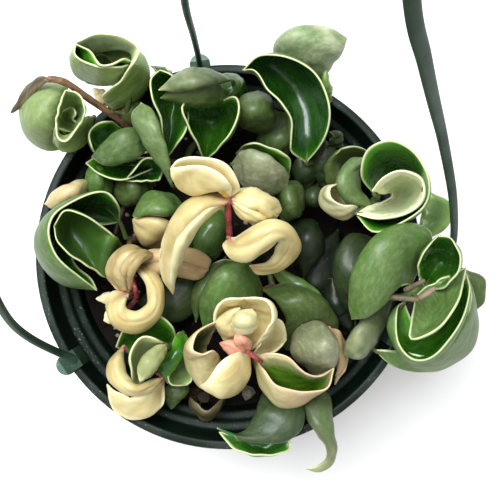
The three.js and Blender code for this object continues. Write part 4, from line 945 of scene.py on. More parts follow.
# %% The vine with the crescent leaf
vine(
    "vine_crescent_leaf",
    stems=[
        ("green", 1.8, [(322, 192, -37), (322, 178, -16), (317, 160, -6), (324, 130, -4), (320, 106, 3)]),
    ],
    leaves=[
        ("deep", 100, 0,
         [(306, 163, 6), (309, 138, 12), (306, 110, 12), (292, 84, 12), (268, 66, 18), (243, 70, 32)],
         [(292, 150, 22), (291, 125, 31), (284, 106, 35), (268, 88, 35), (255, 71, 35)],
         [(322, 142, 24), (330, 115, 34), (321, 82, 38), (297, 61, 40), (262, 55, 38)]),
        ("silvered", 100, 0, [(316, 88, 3), (300, 56, 24), (312, 40, 32), (347, 38, 22)],
         [(327, 72, 7), (338, 58, 14), (344, 47, 20)], [(276, 54, 10), (293, 31, 22), (325, 27, 24)]),
        ("pale", 90, 0, [(331, 100, 3), (327, 84, 12), (325, 68, 14)], [(322, 86, 8)], [(330, 84, 6)]),
        ("dim", 100, 0, [(330, 196, -12), (326, 166, 2), (326, 141, 4)], [(338, 174, -8), (335, 148, -2)],
         [(314, 174, -8), (314, 149, -2)]),
        ("dim", 95, 0, [(328, 146, 6), (336, 142, 12), (338, 134, 16), (330, 132, 18)],
         [(340, 146, 10), (341, 134, 14)], [(330, 140, 12), (334, 136, 16)]),
        ("dim", 95, 0, [(308, 192, -12), (303, 170, 0), (300, 152, 0)], [(316, 172, -6)], [(293, 172, -6)]),
    ],
)

# %% [markdown]
# ## The grey-green leaf
# This vine turns a satin outer face up. It looks grey because fine silvery flecks of air lie under the
# skin, which the leaf finish lays along the blade.

# %% The vine with the grey leaf
vine(
    "vine_grey_leaf",
    stems=[("green", 1.6, [(272, 216, -37), (276, 204, -14), (264, 188, -8), (244, 168, 0)])],
    leaves=[
        ("bulb", 105, 0, [(232, 164, 8), (248, 166, 24), (268, 176, 26), (287, 188, 12)],
         [(240, 182, 8), (262, 197, 6)], [(244, 152, 20), (268, 159, 22), (286, 172, 18)]),
        ("green", 95, 0, [(289, 176, -2), (270, 160, 4), (250, 152, 4), (236, 153, 0)],
         [(275, 168, -4), (252, 163, -4)], [(289, 158, 14), (268, 147, 18), (248, 144, 16)]),
        ("olive", 105, 0, [(276, 208, -4), (290, 200, 16), (306, 199, -2)], [(284, 217, 0), (299, 216, 0)],
         [(282, 184, 0), (300, 184, -2)]),
        ("dim", 100, 0, [(300, 198, -6), (314, 196, 6), (328, 197, -6)], [(314, 207, -4)],
         [(314, 187, -4)]),
        # Painted shade: this leaf lies in deep shade and takes the nearly black shade skin.
        ("shade", 100, 0, [(286, 222, -8), (306, 230, 10), (314, 248, 12), (304, 278, 0)],
         [(294, 240, 4), (298, 258, 4)], [(314, 222, 0), (322, 248, 2)]),
    ],
)

# %% [markdown]
# ## The cream crown
# In the middle stands a tall shoot of cream leaves on a red stem, the highest point of the plant. Two of
# its leaves are folded sharply down the middle. A blade can't fold, so each is laid out as two halves that
# meet in the fold. In the first of them, the half in the shade takes the darker skin, as painted shade.

# %% The cream crown
vine(
    "cream_crown",
    stems=[("red", 1.6, [(232, 262, -37), (231, 250, 0), (230, 239, 30), (228, 215, 41), (228, 199, 47)])],
    leaves=[
        ("custard", 100, 0,
         [(230, 198, 46), (218, 187, 46), (195, 192, 46), (178, 186, 50), (171, 168, 62)],
         [(229, 184, 66), (208, 168, 71), (186, 167, 70)],
         [(239, 186, 58), (226, 166, 66), (198, 157, 67), (180, 160, 66)]),
        ("oat", 84, 0,
         [(228, 199, 46), (204, 202, 56), (181, 221, 54), (168, 248, 40), (166, 274, 28), (173, 294, 16)],
         [(226, 203, 50), (206, 211, 51), (187, 230, 49), (176, 254, 41), (171, 277, 28)],
         [(209, 193, 44), (183, 204, 44), (166, 233, 42), (160, 258, 34), (163, 279, 22)]),
        ("pale_cream", 80, 0,
         [(228, 201, 46), (208, 212, 55), (190, 232, 54), (179, 254, 45), (173, 277, 29), (173, 294, 15)],
         [(224, 206, 42), (207, 219, 42), (191, 238, 40), (182, 258, 34), (175, 280, 22)],
         [(224, 202, 49), (204, 209, 51), (184, 229, 49), (174, 252, 42), (170, 277, 27)]),
        ("custard", 84, 0, [(231, 198, 46), (248, 199, 57), (265, 206, 54), (278, 215, 42)],
         [(241, 189, 46), (260, 191, 46), (275, 200, 40), (281, 209, 38)],
         [(240, 203, 50), (255, 208, 50), (267, 214, 46), (275, 219, 40)]),
        ("custard", 80, 0, [(231, 201, 46), (243, 210, 53), (257, 218, 50), (270, 224, 38)],
         [(240, 204, 50), (254, 209, 50), (267, 216, 44)],
         [(236, 211, 42), (246, 220, 38), (260, 228, 32)]),
        ("cream", 85, 0,
         [(229, 238, 34), (238, 247, 48), (255, 243, 52), (274, 232, 52), (290, 238, 44), (286, 254, 34),
          (272, 266, 28), (250, 266, 20)],
         [(237, 237, 42), (253, 227, 48), (270, 220, 48), (287, 225, 44), (299, 242, 36), (295, 258, 26),
          (278, 271, 22), (258, 274, 20)],
         [(223, 246, 38), (233, 258, 42), (248, 260, 44), (265, 252, 46), (278, 240, 44), (276, 250, 34),
          (268, 262, 26), (258, 267, 22)]),
        ("gold", 90, 0, [(228, 198, 48), (222, 190, 56), (221, 178, 62)], [(219, 190, 56)],
         [(226, 188, 56)]),
    ],
)

# %% [markdown]
# ## The cream curl
# At the left, cream leaves wind round a hollow in bands, and a tan one lies under them like a bridge. The
# bands have grooves down their length, which the tones fawn and cream bring with them.

# %% The cream curl
vine(
    "cream_curl",
    stems=[("red", 1.7, [(140, 300, -37), (138, 297, -10), (133, 288, 6), (134, 276, 12)])],
    leaves=[
        ("fawn", 84, 0, [(122, 291, 6), (113, 275, 20), (117, 259, 24), (131, 250, 24), (146, 252, 16)],
         [(115, 288, 10), (108, 274, 14), (112, 257, 18), (128, 246, 18)],
         [(127, 288, 14), (122, 272, 22), (127, 259, 26), (138, 255, 20)]),
        ("tan", 95, 1.2, [(132, 268, 8), (155, 262, 20), (182, 262, 20), (208, 270, 10)],
         [(148, 254, 14), (180, 250, 14), (209, 258, 10)], [(150, 271, 12), (174, 273, 12), (200, 278, 8)]),
        ("cream", 85, 0,
         [(129, 293, 6), (116, 303, 18), (119, 318, 22), (135, 322, 24), (153, 312, 26), (157, 292, 26),
          (148, 274, 22), (134, 266, 14)],
         [(112, 292, 10), (106, 308, 12), (117, 327, 14), (136, 332, 14), (158, 318, 16), (164, 290, 18),
          (153, 270, 16)],
         [(126, 299, 16), (126, 309, 18), (136, 312, 20), (147, 306, 22), (148, 290, 22), (142, 276, 20)]),
        ("butter", 90, 0, [(120, 301, 2), (108, 298, 6), (96, 299, 8)], [(108, 304, 4)], [(108, 293, 4)]),
        ("butter", 90, 0, [(120, 316, 2), (111, 317, 4), (104, 321, 4)], [(112, 323, 2)], [(108, 311, 3)]),
        ("fawn", 84, 0, [(129, 291, 8), (127, 275, 27), (133, 262, 31), (144, 254, 28), (154, 255, 20)],
         [(123, 288, 14), (121, 272, 22), (128, 258, 26), (140, 250, 22)],
         [(132, 287, 16), (132, 274, 24), (139, 264, 26)]),
    ],
    stubs=[("red", 1.1, [(131, 277, 18), (135, 288, 20), (137, 298, 14)])],
)

# %% [markdown]
# ## The vine in the centre
# Low leaves fill the middle. They are mostly in the shade of others, so their skins are dull, with a thin
# line for the margin.

# %% The vine in the centre
vine(
    "vine_centre",
    stems=[
        ("green", 1.6, [(216, 286, -37), (214, 280, -16), (202, 274, -14), (190, 268, -16)]),
        ("green", 1.5, [(214, 281, -18), (240, 284, -15), (262, 290, -9)]),
    ],
    leaves=[
        ("dim", 100, 0, [(206, 276, -8), (190, 294, 2), (165, 308, 2), (138, 302, -12)],
         [(185, 274, -4), (152, 288, -6)], [(196, 308, -8), (160, 322, -8)]),
        ("green", 100, 0, [(264, 290, -6), (240, 283, 20), (218, 298, 20), (203, 326, 0)],
         [(248, 262, 6), (222, 271, 12), (200, 300, 6)], [(256, 308, 0), (236, 320, 0), (216, 332, -4)]),
        ("olive", 90, 0, [(236, 262, -6), (210, 276, 6), (197, 298, 6), (196, 322, -4)],
         [(222, 260, 0), (202, 273, 2), (192, 298, 0)], [(224, 270, 2), (206, 290, 4)]),
        ("pale", 100, 0, [(200, 270, -12), (204, 246, 6), (213, 224, 8), (224, 206, -4)],
         [(196, 248, -6), (204, 220, -4)], [(220, 254, -6), (228, 226, -4)]),
        ("olive", 95, 0, [(186, 262, -16), (186, 244, -6), (190, 224, -4), (202, 208, -12)],
         [(180, 248, -12), (182, 226, -12)], [(196, 246, -12), (202, 226, -12)]),
    ],
)

# %% [markdown]
# ## The cream loop
# Two cream leaves make a loop at the lower left, one hugging the other. Neither bulges in its curves: the
# cream one looks plump from the thicker, grooved blade that its tone brings.

# %% The cream loop
vine(
    "cream_loop",
    stems=[("green", 1.6, [(150, 368, -37), (148, 366, -14), (136, 356, -2), (125, 349, 3)])],
    leaves=[
        ("cream", 85, 0,
         [(124, 347, 4), (113, 362, 18), (116, 379, 22), (132, 391, 24), (150, 387, 20), (162, 378, 12)],
         [(123, 358, 12), (126, 373, 18), (138, 386, 20), (152, 380, 16)],
         [(113, 358, 8), (110, 377, 12), (124, 392, 14), (148, 392, 12)]),
        ("butter", 95, 0, [(164, 380, 0), (152, 402, 9), (132, 408, 10), (114, 400, 7), (107, 384, 8)],
         [(162, 406, 4), (140, 418, 4), (116, 412, 4)], [(154, 390, 10), (135, 398, 14), (118, 393, 12)]),
    ],
)

# %% [markdown]
# ## The vine at the lower left
# Small green leaves crowd together. The first two have wide pale margins, and they stand in front of
# darker ones, so that each sets off the next.

# %% The vine at the lower left
vine(
    "vine_south_west",
    stems=[
        ("green", 1.6, [(184, 352, -37), (182, 348, -12), (177, 346, -4), (169, 347, 8), (167, 346, 15)]),
    ],
    leaves=[
        ("celery", 95, 1, [(166, 345, 20), (152, 362, 30), (140, 381, 28)],
         [(164, 351, 18), (151, 369, 24)], [(155, 347, 22), (139, 365, 24)]),
        ("ringed", 100, 0, [(168, 348, 4), (152, 352, 0), (141, 366, 0), (136, 386, 12)],
         [(164, 360, -2), (152, 374, -2)],
         [(160, 340, 24), (142, 338, 29), (131, 354, 30), (131, 372, 24)]),
        ("green", 100, 0, [(176, 344, -4), (150, 334, 0), (128, 338, 0), (116, 347, 4)],
         [(157, 346, -4), (130, 350, -4)], [(173, 327, 12), (154, 316, 15), (128, 325, 12)]),
        ("green", 95, 0, [(183, 332, -2), (184, 346, 8), (174, 358, 12), (164, 370, 10), (168, 383, 2)],
         [(187, 340, 2), (182, 356, 6), (171, 372, 6)], [(177, 334, 2), (170, 350, 8), (160, 364, 8)]),
        ("snail", 100, 0, [(194, 350, -6), (182, 362, -8), (177, 376, -6), (187, 385, 0)],
         [(190, 364, 3), (192, 378, 2)], [(181, 352, 2), (168, 366, 6), (171, 384, 6)]),
        ("olive", 95, 0, [(180, 380, -10), (175, 394, -8), (171, 409, -12)], [(164, 391, -12)],
         [(188, 390, -12)]),
    ],
)

# %% [markdown]
# ## The cream rose
# The showpiece is a rosette of cream leaves with pink bases, ringed by large blushed ones whose inside is
# green. Nine blades stand round one red stem, from a tight bud out to the wide wings.

# %% The cream rose
vine(
    "cream_rose",
    stems=[("red", 1.7, [(257, 368, -37), (256, 364, -8), (252, 357, 6), (248, 350, 18)])],
    leaves=[
        ("custard", 105, 0, [(249, 351, 12), (258, 330, 18), (252, 310, 22), (244, 298, 40)],
         [(226, 338, 16), (214, 318, 28), (224, 301, 38)],
         [(266, 332, 32), (273, 313, 42), (264, 299, 44)]),
        ("butter", 95, 0, [(252, 354, 12), (270, 345, 14), (279, 333, 16), (276, 318, 18)],
         [(260, 346, 20), (269, 332, 24)], [(264, 357, 10), (285, 342, 12), (283, 324, 16)]),
        ("pale_cream", 100, 0, [(238, 336, 26), (244, 323, 46), (252, 309, 38)],
         [(255, 328, 32), (256, 315, 38)], [(233, 326, 32), (237, 313, 38)]),
        ("butter", 100, 0, [(242, 342, 16), (228, 332, 28), (229, 317, 34), (240, 308, 34)],
         [(238, 332, 24), (238, 320, 26)], [(224, 341, 18), (218, 322, 24), (227, 311, 28)]),
        ("pink", 90, 1, [(249, 351, 18), (242, 342, 32), (236, 333, 32)], [(235, 343, 28)],
         [(248, 340, 28)]),
        ("pink", 90, 1, [(247, 354, 18), (236, 349, 28), (220, 343, 24)], [(234, 356, 20)],
         [(234, 342, 24)]),
        ("blush", 105, 0, [(224, 366, 8), (206, 388, 12), (189, 370, 8), (187, 346, 10), (217, 321, 28)],
         [(214, 351, 30), (203, 355, 34), (192, 350, 36), (196, 335, 34), (206, 327, 31)],
         [(208, 364, 2), (206, 350, 0), (210, 340, 6), (214, 330, 16)]),
        ("custard", 105, 0, [(249, 353, 10), (247, 380, 14), (224, 397, 14), (200, 386, 20)],
         [(240, 366, -2), (224, 378, -4), (208, 380, 6)], [(238, 353, 30), (221, 363, 38), (208, 381, 34)]),
        ("blush", 105, 0, [(255, 358, 10), (262, 388, 12), (284, 402, 12), (312, 394, 10), (334, 368, 20)],
         [(266, 354, 30), (288, 358, 34), (308, 374, 30), (322, 376, 26)],
         [(264, 370, 28), (278, 386, 30), (300, 392, 28), (326, 388, 24)]),
    ],
    stubs=[("red", 1.1, [(248, 352, 30), (256, 358, 32), (262, 362, 28)])],
)

# %% [markdown]
# ## The bulb leaf
# One pale leaf is blown up like a bulb, with its margins tucked under. The half angle of its section is 110
# degrees, which brings the margins back in below the widest place.

# %% The vine with the bulb leaf
vine(
    "vine_bulb_leaf",
    stems=[
        ("green", 1.6, [(306, 352, -37), (304, 344, -16), (292, 314, -10), (274, 288, -6), (269, 270, -8)]),
    ],
    leaves=[
        ("bulb", 110, 0, [(322, 382, -2), (322, 356, 30), (316, 338, 30), (302, 325, 10)],
         [(332, 370, 14), (332, 346, 16), (319, 322, 14)], [(308, 370, 8), (293, 354, 8), (293, 334, 6)]),
        ("tan", 90, 1, [(330, 328, 4), (339, 345, 13), (341, 364, 9), (335, 384, 0)],
         [(335, 350, 6), (338, 368, 5)], [(341, 334, 6), (347, 362, 4)]),
        ("olive", 100, 0, [(264, 290, 0), (294, 298, 16), (306, 318, 10), (296, 350, -8)],
         [(276, 299, 8), (289, 320, 6), (284, 346, -6)], [(290, 284, 4), (326, 302, 4), (336, 332, -6)]),
        ("streaked", 90, 0, [(268, 264, -6), (288, 278, 4), (308, 290, 4), (326, 308, -4)],
         [(298, 279, 0), (318, 293, 0)], [(280, 282, -2), (300, 298, -2)]),
    ],
)

# %% [markdown]
# ## The vine at the front
# Leaves lie along the front rim: one wide and bluish, one a green strap, one a narrow pale hook. They rest
# on the rim, which is what holds such trailing shoots.

# %% The vine at the front
vine(
    "vine_south",
    stems=[("green", 1.6, [(284, 376, -37), (284, 384, -14), (288, 404, -4), (290, 418, 1)])],
    leaves=[
        ("blue", 105, 0, [(270, 384, -6), (280, 410, 14), (270, 430, 17), (245, 439, 14), (217, 428, 8)],
         [(260, 404, 4), (252, 425, 9), (236, 434, 10)], [(302, 404, 4), (297, 432, 13), (262, 442, 14)]),
        ("deep", 100, 0, [(288, 432, 5), (276, 446, 4), (250, 448, 4), (219, 432, 4)],
         [(289, 450, 8), (262, 455, 10), (235, 449, 8)], [(283, 438, 4), (255, 441, 5)]),
        ("streaked", 95, 0,
         [(314, 384, -6), (317, 405, 6), (323, 428, 12), (332, 448, 10), (329, 461, 7), (319, 469, 5),
          (306, 469, 5)],
         [(303, 396, -2), (308, 418, 5), (319, 436, 8), (328, 451, 7), (325, 461, 6), (317, 466, 5)],
         [(330, 396, -2), (331, 420, 4), (336, 446, 6), (332, 462, 5), (321, 471, 4)]),
    ],
)

# %% [markdown]
# ## The rosette
# At the upper right a leaf coils round into a rosette with a wide milky band inside. That inner leaf has its
# own skin, in which the cream covers most of the blade and only the middle stays grey-green.

# %% The rosette
vine(
    "vine_rosette",
    stems=[("green", 1.7, [(362, 216, -37), (365, 208, -12), (374, 200, 2), (379, 195, 7)])],
    leaves=[
        ("turned_green", 100, 0,
         [(374, 194, 10), (380, 172, 10), (400, 165, 12), (418, 185, 15), (411, 210, 13), (385, 224, 12),
          (357, 216, 22)],
         [(386, 184, 2), (398, 178, 4), (405, 188, 5), (398, 205, 5), (380, 214, 6)],
         [(362, 176, 32), (367, 150, 40), (390, 140, 44), (414, 153, 44), (428, 182, 42), (424, 207, 36),
          (400, 224, 32), (374, 232, 28)]),
        ("milky", 110, 0,
         [(357, 214, 24), (378, 211, 16), (399, 206, 10), (408, 194, 10), (402, 185, 14), (387, 186, 22),
          (372, 191, 30)],
         [(372, 206, 12), (384, 202, 4), (392, 197, 2), (390, 191, 8)],
         [(380, 219, 30), (405, 214, 32), (421, 200, 34), (421, 180, 36), (402, 170, 38), (384, 177, 36)]),
        ("pale", 100, 0, [(372, 206, 10), (352, 192, 22), (349, 174, 24), (362, 158, 16)],
         [(361, 192, 6), (358, 172, 8)], [(350, 205, 14), (339, 193, 16), (340, 172, 16), (350, 159, 16)]),
        ("olive", 100, 0, [(346, 196, -6), (337, 174, 6), (344, 160, 2), (370, 154, 8)],
         [(352, 178, -2), (354, 162, -2)], [(328, 184, 0), (328, 162, 8), (344, 148, 20), (360, 147, 18)]),
        ("pale_cream", 110, 0, [(360, 208, 4), (340, 218, 8), (324, 208, 8), (322, 192, 8), (338, 184, 22)],
         [(350, 198, 0), (342, 196, -2), (338, 190, 4)],
         [(354, 206, 22), (342, 205, 26), (331, 198, 28), (330, 188, 27)]),
        ("pale", 100, 0, [(424, 240, 4), (436, 222, 5), (440, 205, 4), (430, 192, 2)],
         [(418, 236, 4), (422, 214, 4)], [(448, 226, 3), (449, 206, 2)]),
    ],
)

# %% [markdown]
# ## The vine at the east side
# The largest vine hangs over the right rim: cupped leaves behind one another, with dark mouths and pale
# lips. Short brown and pink stubs of old flower stalks stand between them.

# %% The vine at the east side
vine(
    "vine_east",
    stems=[
        ("green", 1.9, [(350, 300, -37), (356, 300, -14), (384, 298, 3), (404, 296, 8), (420, 288, 11)]),
    ],
    leaves=[
        ("green", 100, 0, [(412, 284, 10), (403, 254, 36), (384, 262, 42), (364, 290, 36), (352, 319, 22)],
         [(431, 238, 24), (410, 224, 28), (376, 238, 32), (354, 272, 32), (349, 302, 26)],
         [(400, 286, 26), (384, 303, 28), (366, 317, 26)]),
        ("green", 105, 0, [(424, 287, 10), (436, 270, 4), (444, 256, 6), (438, 236, 30)],
         [(418, 268, 28), (427, 248, 34)], [(446, 287, 28), (460, 262, 34), (453, 240, 32)]),
        ("green", 100, 0, [(416, 296, 12), (434, 312, 22), (450, 294, 24), (466, 268, 16)],
         [(411, 324, 26), (412, 339, 30), (440, 326, 34), (458, 300, 32)],
         [(428, 286, 16), (450, 276, 18)]),
        ("green", 105, 0,
         [(404, 302, 8), (391, 328, 11), (410, 350, 9), (440, 342, 7), (460, 308, 8), (467, 276, 12)],
         [(412, 322, 9), (420, 334, 8), (438, 320, 6), (450, 298, 6)],
         [(397, 310, 20), (398, 342, 22), (414, 359, 24), (437, 353, 24), (461, 322, 24), (469, 292, 20)]),
        ("green", 105, 0,
         [(374, 350, 4), (405, 361, 6), (440, 363, 4), (469, 335, 4), (475, 303, 4), (466, 274, 2)],
         [(395, 366, 3), (434, 371, -6), (469, 350, -10), (477, 318, -4)],
         [(400, 352, 10), (435, 356, 14), (460, 330, 14), (471, 298, 12)]),
        ("olive", 95, 0, [(462, 268, -4), (474, 284, -3), (477, 309, -8)], [(466, 292, -8)],
         [(484, 280, -6), (484, 300, -8)]),
        ("dim", 100, 0, [(352, 316, -6), (350, 285, 14), (356, 257, 16), (378, 240, 4)],
         [(366, 290, 8), (372, 262, 10)], [(337, 292, 4), (334, 265, 8), (350, 234, 8)]),
        # Painted shade: a low leaf deep under the others, in the nearly black shade skin.
        ("shade", 95, 0, [(354, 334, -14), (338, 306, -4), (332, 278, -6)],
         [(350, 304, -12), (344, 282, -12)], [(324, 308, -12), (326, 282, -12)]),
        ("streaked", 95, 0, [(392, 300, 4), (374, 320, 16), (358, 340, 20), (344, 355, 14)],
         [(382, 303, 6), (362, 322, 12), (347, 342, 12)], [(386, 322, 6), (375, 343, 10), (360, 359, 12)]),
        # Painted shade: a low leaf deep under the others, in the nearly black shade skin.
        ("shade", 100, 0, [(322, 318, -18), (318, 280, -12), (324, 250, -12), (338, 230, -16)],
         [(336, 288, -16), (342, 256, -16)], [(308, 290, -16), (310, 256, -16)]),
    ],
    stubs=[
        ("husk", 1.3, [(383, 297, 26), (400, 298, 32), (420, 300, 33)]),
        ("husk", 1.1, [(405, 290, 30), (415, 285, 34), (425, 280, 34)]),
        ("rosy", 1.2, [(420, 298, 32), (428, 293, 34), (435, 288, 32)]),
    ],
)

# %% [markdown]
# ## The fallen leaf
# One dry leaf lies loose on the potting mix near the front. It has no stalk, so it is given no stem.

# %% The fallen leaf
vine(
    "fallen_leaf",
    stems=[],
    leaves=[
        ("dry", 90, 0,
         [(225, 394, -15), (220, 408, -13), (206, 417, -12), (193, 408, -13), (190, 397, -15)],
         [(222, 404, -15.5), (206, 420, -15.5), (191, 406, -15.5)],
         [(217, 404, -10), (206, 411, -9), (197, 404, -10)]),
    ],
)

# %% [markdown]
# ## The basket
# The basket is one injection moulding: a tapered wall, a turned-down lip, two ledges inside and holes in
# the base. It is a profile turned about the axis, so a lathe in mesh code does it. Each corner of the
# profile is rounded with a small arc, because sharp plastic edges never catch the light as real ones do.


# %% Turned shapes with rounded corners
def rounded(profile, steps=4):
    """The profile with each corner (r, z, radius) replaced by a small arc."""
    line = []
    for k, (r, z, size) in enumerate(profile):
        corner = np.array([r, z])
        if size == 0 or k in (0, len(profile) - 1):
            line.append(corner)
            continue
        before = np.array(profile[k - 1][:2]) - corner
        after = np.array(profile[k + 1][:2]) - corner
        reach = min(size, 0.45 * np.linalg.norm(before), 0.45 * np.linalg.norm(after))
        start = corner + before / np.linalg.norm(before) * reach
        end = corner + after / np.linalg.norm(after) * reach
        for u in np.linspace(0, 1, steps + 1):
            line.append((1 - u) ** 2 * start + 2 * u * (1 - u) * corner + u**2 * end)
    return np.array(line) * MM


def turn_about(line, around, centre=(0.0, 0.0)):
    """Points and faces of a profile turned about an upright axis; ends on the axis are closed."""
    angle = np.linspace(0, 2 * math.pi, around, endpoint=False)
    points = np.array(
        [(centre[0] + r * math.cos(a), centre[1] + r * math.sin(a), z) for r, z in line for a in angle]
    )
    return points, rings_to_faces(len(line), around)


# %% Moulded plastic
def plastic(name, body, dark, dust, dusty, shine=0.3, rough=0.34):
    """Moulded green plastic: dust and fine specks gather where it faces up."""
    skin = Finish(name)
    spot = skin.place()
    cloud = skin.noise(spot, 55.0, 3.0, 0.6)
    speck = skin.noise(spot, 900.0, 2.0, 0.6)
    dapple = skin.noise(spot, 2600.0, 1.0, 0.5)
    facing = skin.node("ShaderNodeNewGeometry")["Normal"]
    upward = skin.node("ShaderNodeSeparateXYZ", None, {"Vector": facing})["Z"]
    colour = skin.blend(cloud.ramp(0.35, 0.7), body, dark)
    settled = upward.ramp(0.15, 0.9) * dusty
    colour = skin.blend(settled * cloud.ramp(0.3, 0.75) * 0.3, colour, dust)
    colour = skin.blend(speck.ramp(0.63, 0.7) * upward.ramp(0.3, 0.9) * cloud.ramp(0.38, 0.6), colour, dust)
    colour = skin.blend(speck.ramp(0.42, 0.34) * settled * 0.7, colour, dark)
    normal = skin.bump(dapple, 0.12, 0.00015)
    normal = skin.bump(speck * settled, 0.35, 0.0003, normal)
    return skin.set(
        Base_Color=colour,
        Roughness=rough + settled * 0.35 + (cloud - 0.5) * 0.1,
        Normal=normal,
        Specular_IOR_Level=shine,
    )


POT_SKIN = plastic("basket_plastic", "#0d1b12", "#070f09", "#6f7f72", 0.45, 0.18)
HANGER_SKIN = plastic("hanger_plastic", "#32483a", "#26382c", "#65776a", 0.2, 0.1, 0.5)
TONGUE_SKIN = plastic("tongue_plastic", "#4f6b5b", "#40594a", "#8a9d8f", 0.3)
print("plastics", POT_SKIN.name, HANGER_SKIN.name, TONGUE_SKIN.name)

# %% The basket's shell and its drain holes
POT_PROFILE = [
    (0, 0.4, 0), (52, 0.4, 1), (56, 0, 1), (68, 0, 2), (70, 2, 1.5), (96.1, 117, 3), (97.3, 127, 1.5),
    (98.5, 128.2, 0.3), (98.5, 121, 0.4), (100, 121, 0.6), (100, 130, 1.6), (95.5, 130, 1.4),
    (94.3, 113.5, 1.2), (90.6, 112, 1.2), (89.4, 108.5, 1.2), (85.8, 107, 1.2), (68.2, 3.8, 2),
    (66.2, 1.8, 1), (0, 1.8, 0),
]
POT_SIDES = 144
DRAIN_HOLES, DRAIN_CIRCLE, DRAIN_RADIUS, DRAIN_SIDES = 8, 45, 3.5, 24
shell = Piece("basket_shell")
shell.add(*turn_about(rounded(POT_PROFILE), POT_SIDES), POT_SKIN)
pot = shell.build("pot", 40)
cutter = Piece("drain_cutter")
for k in range(DRAIN_HOLES):
    turn = 2 * math.pi * k / DRAIN_HOLES
    middle = (DRAIN_CIRCLE * MM * math.cos(turn), DRAIN_CIRCLE * MM * math.sin(turn))
    plug = np.array([(DRAIN_RADIUS, -3), (DRAIN_RADIUS, 5)]) * MM
    cutter.add(*turn_about(plug, DRAIN_SIDES, middle), POT_SKIN)
drill = cutter.build()
holes = pot.modifiers.new("holes", "BOOLEAN")
holes.operation = "DIFFERENCE"
holes.object = drill
bpy.context.view_layer.update()
drilled = bpy.data.meshes.new_from_object(pot.evaluated_get(bpy.context.evaluated_depsgraph_get()))
pot.modifiers.clear()
pot.data = drilled
bpy.data.objects.remove(drill)
print("basket with holes:", len(pot.data.polygons), "faces")

# %% [markdown]
# ## The potting mix
# The mix is dark peat with bark crumbs, a few grey-white grains, one pebble, a patch of brown root crumbs
# and a cut stub of an old stem. A displaced mound alone looks like mud, so loose crumbs lie on it. They are
# small irregular lumps made from a coarse ball whose corners are pushed about at random, with a fixed seed.

# %% Potting mix
def soil_skin(name, dark, light, speck, rough=0.95):
    """Earth or bark: soft clods of two tones, and grit."""
    skin = Finish(name)
    spot = skin.place()
    clod = skin.noise(spot, 160.0, 4.0, 0.7)
    grit = skin.noise(spot, 1300.0, 3.0, 0.7)
    colour = skin.blend(clod.ramp(0.35, 0.65), dark, light)
    colour = skin.blend(grit.ramp(0.62, 0.72) * 0.6, colour, speck)
    normal = skin.bump(grit, 0.7, 0.0006)
    normal = skin.bump(clod, 0.6, 0.002, normal)
    return skin.set(Base_Color=colour, Roughness=rough, Normal=normal, Specular_IOR_Level=0.2)


PEAT = soil_skin("peat", "#060403", "#120d08", "#3c2e20")
BARK_CRUMB = soil_skin("bark_crumb", "#170f0a", "#35261a", "#645038", 0.85)
GRAIN_CRUMB = soil_skin("pale_grain", "#6d6655", "#948c77", "#bab29b", 0.9)
ROOT_CRUMB = soil_skin("root_crumb", "#2c1e12", "#4a3622", "#6f573a", 0.85)
SOIL_RADIUS, SOIL_MOUND, SOIL_DEPTH = 83.5, 7, 27
SOIL_RINGS, SOIL_SIDES = 56, 144
BOTTOM_RADIUS, BOTTOM_HEIGHT = 65.0, 2.3
CRUMBS, CRUMB_REACH, ROOT_CRUMBS = 620, 80, 110
PEBBLE_PLACE, STUB_PLACE, ROOT_PLACE, SOIL_LEVEL = (248, 395), (200, 400), (196, 400), -18


def mound(x, y):
    """The height of the mix at a place, in mm from the base."""
    u, v = x / 9, y / 9
    out = math.hypot(x, y) / SOIL_RADIUS
    lumps = math.sin(u + 2 * math.sin(0.6 * v)) * math.cos(1.1 * v - 1.5 * math.sin(0.75 * u))
    clods = math.sin(2.3 * u + 1.7 * math.sin(2.9 * v)) * math.sin(2.6 * v + 1.3 * math.sin(1.9 * u))
    fade = 1 - out**4
    return RIM_HEIGHT - SOIL_DEPTH + SOIL_MOUND * (1 - out**2) + (0.9 * lumps + 0.55 * clods) * fade


def lump(centre, size, chance, flat):
    """A small irregular lump: a coarse ball with its corners pushed about."""
    points, around = [], 7
    for row in (0.18, 0.5, 0.82):
        for k in range(around):
            turn = 2 * math.pi * (k + row) / around
            r = size * math.sin(math.pi * row) * chance.uniform(0.7, 1.25)
            z = flat * size * math.cos(math.pi * row) * chance.uniform(0.8, 1.2)
            points.append((r * math.cos(turn), r * math.sin(turn), z))
    spin = chance.uniform(0, 6.3)
    c, s = math.cos(spin), math.sin(spin)
    points = [(x * c - y * s, x * s + y * c, z) for x, y, z in points]
    return np.array(points) * MM + np.array(centre) * MM, rings_to_faces(3, around)


mix = Piece("potting_mix")
line = [(BOTTOM_RADIUS, BOTTOM_HEIGHT)]
line += [(SOIL_RADIUS * k / SOIL_RINGS, None) for k in range(SOIL_RINGS, 0, -1)]
points = []
for radius, height in line:
    for k in range(SOIL_SIDES):
        x = radius * math.cos(2 * math.pi * k / SOIL_SIDES)
        y = radius * math.sin(2 * math.pi * k / SOIL_SIDES)
        points.append((x, y, mound(x, y) if height is None else height))
mix.add(np.array(points) * MM, rings_to_faces(len(line), SOIL_SIDES), PEAT)
chance = random.Random(11)
for k in range(CRUMBS):
    radius = CRUMB_REACH * math.sqrt(chance.random())
    turn = chance.uniform(0, 2 * math.pi)
    x, y = radius * math.cos(turn), radius * math.sin(turn)
    size = chance.uniform(0.7, 2.0)
    crumb = PEAT if k % 3 else BARK_CRUMB
    if k % 9 == 0:
        crumb, size = GRAIN_CRUMB, chance.uniform(0.8, 1.6)
    mix.add(*lump((x, y, mound(x, y) + 0.2 * size), size, chance, 0.7), crumb)
x, y, _ = seen((*PEBBLE_PLACE, SOIL_LEVEL)) / MM
mix.add(*lump((x, y, mound(x, y) + 1.5), 4.2, chance, 0.6), GRAIN_CRUMB)
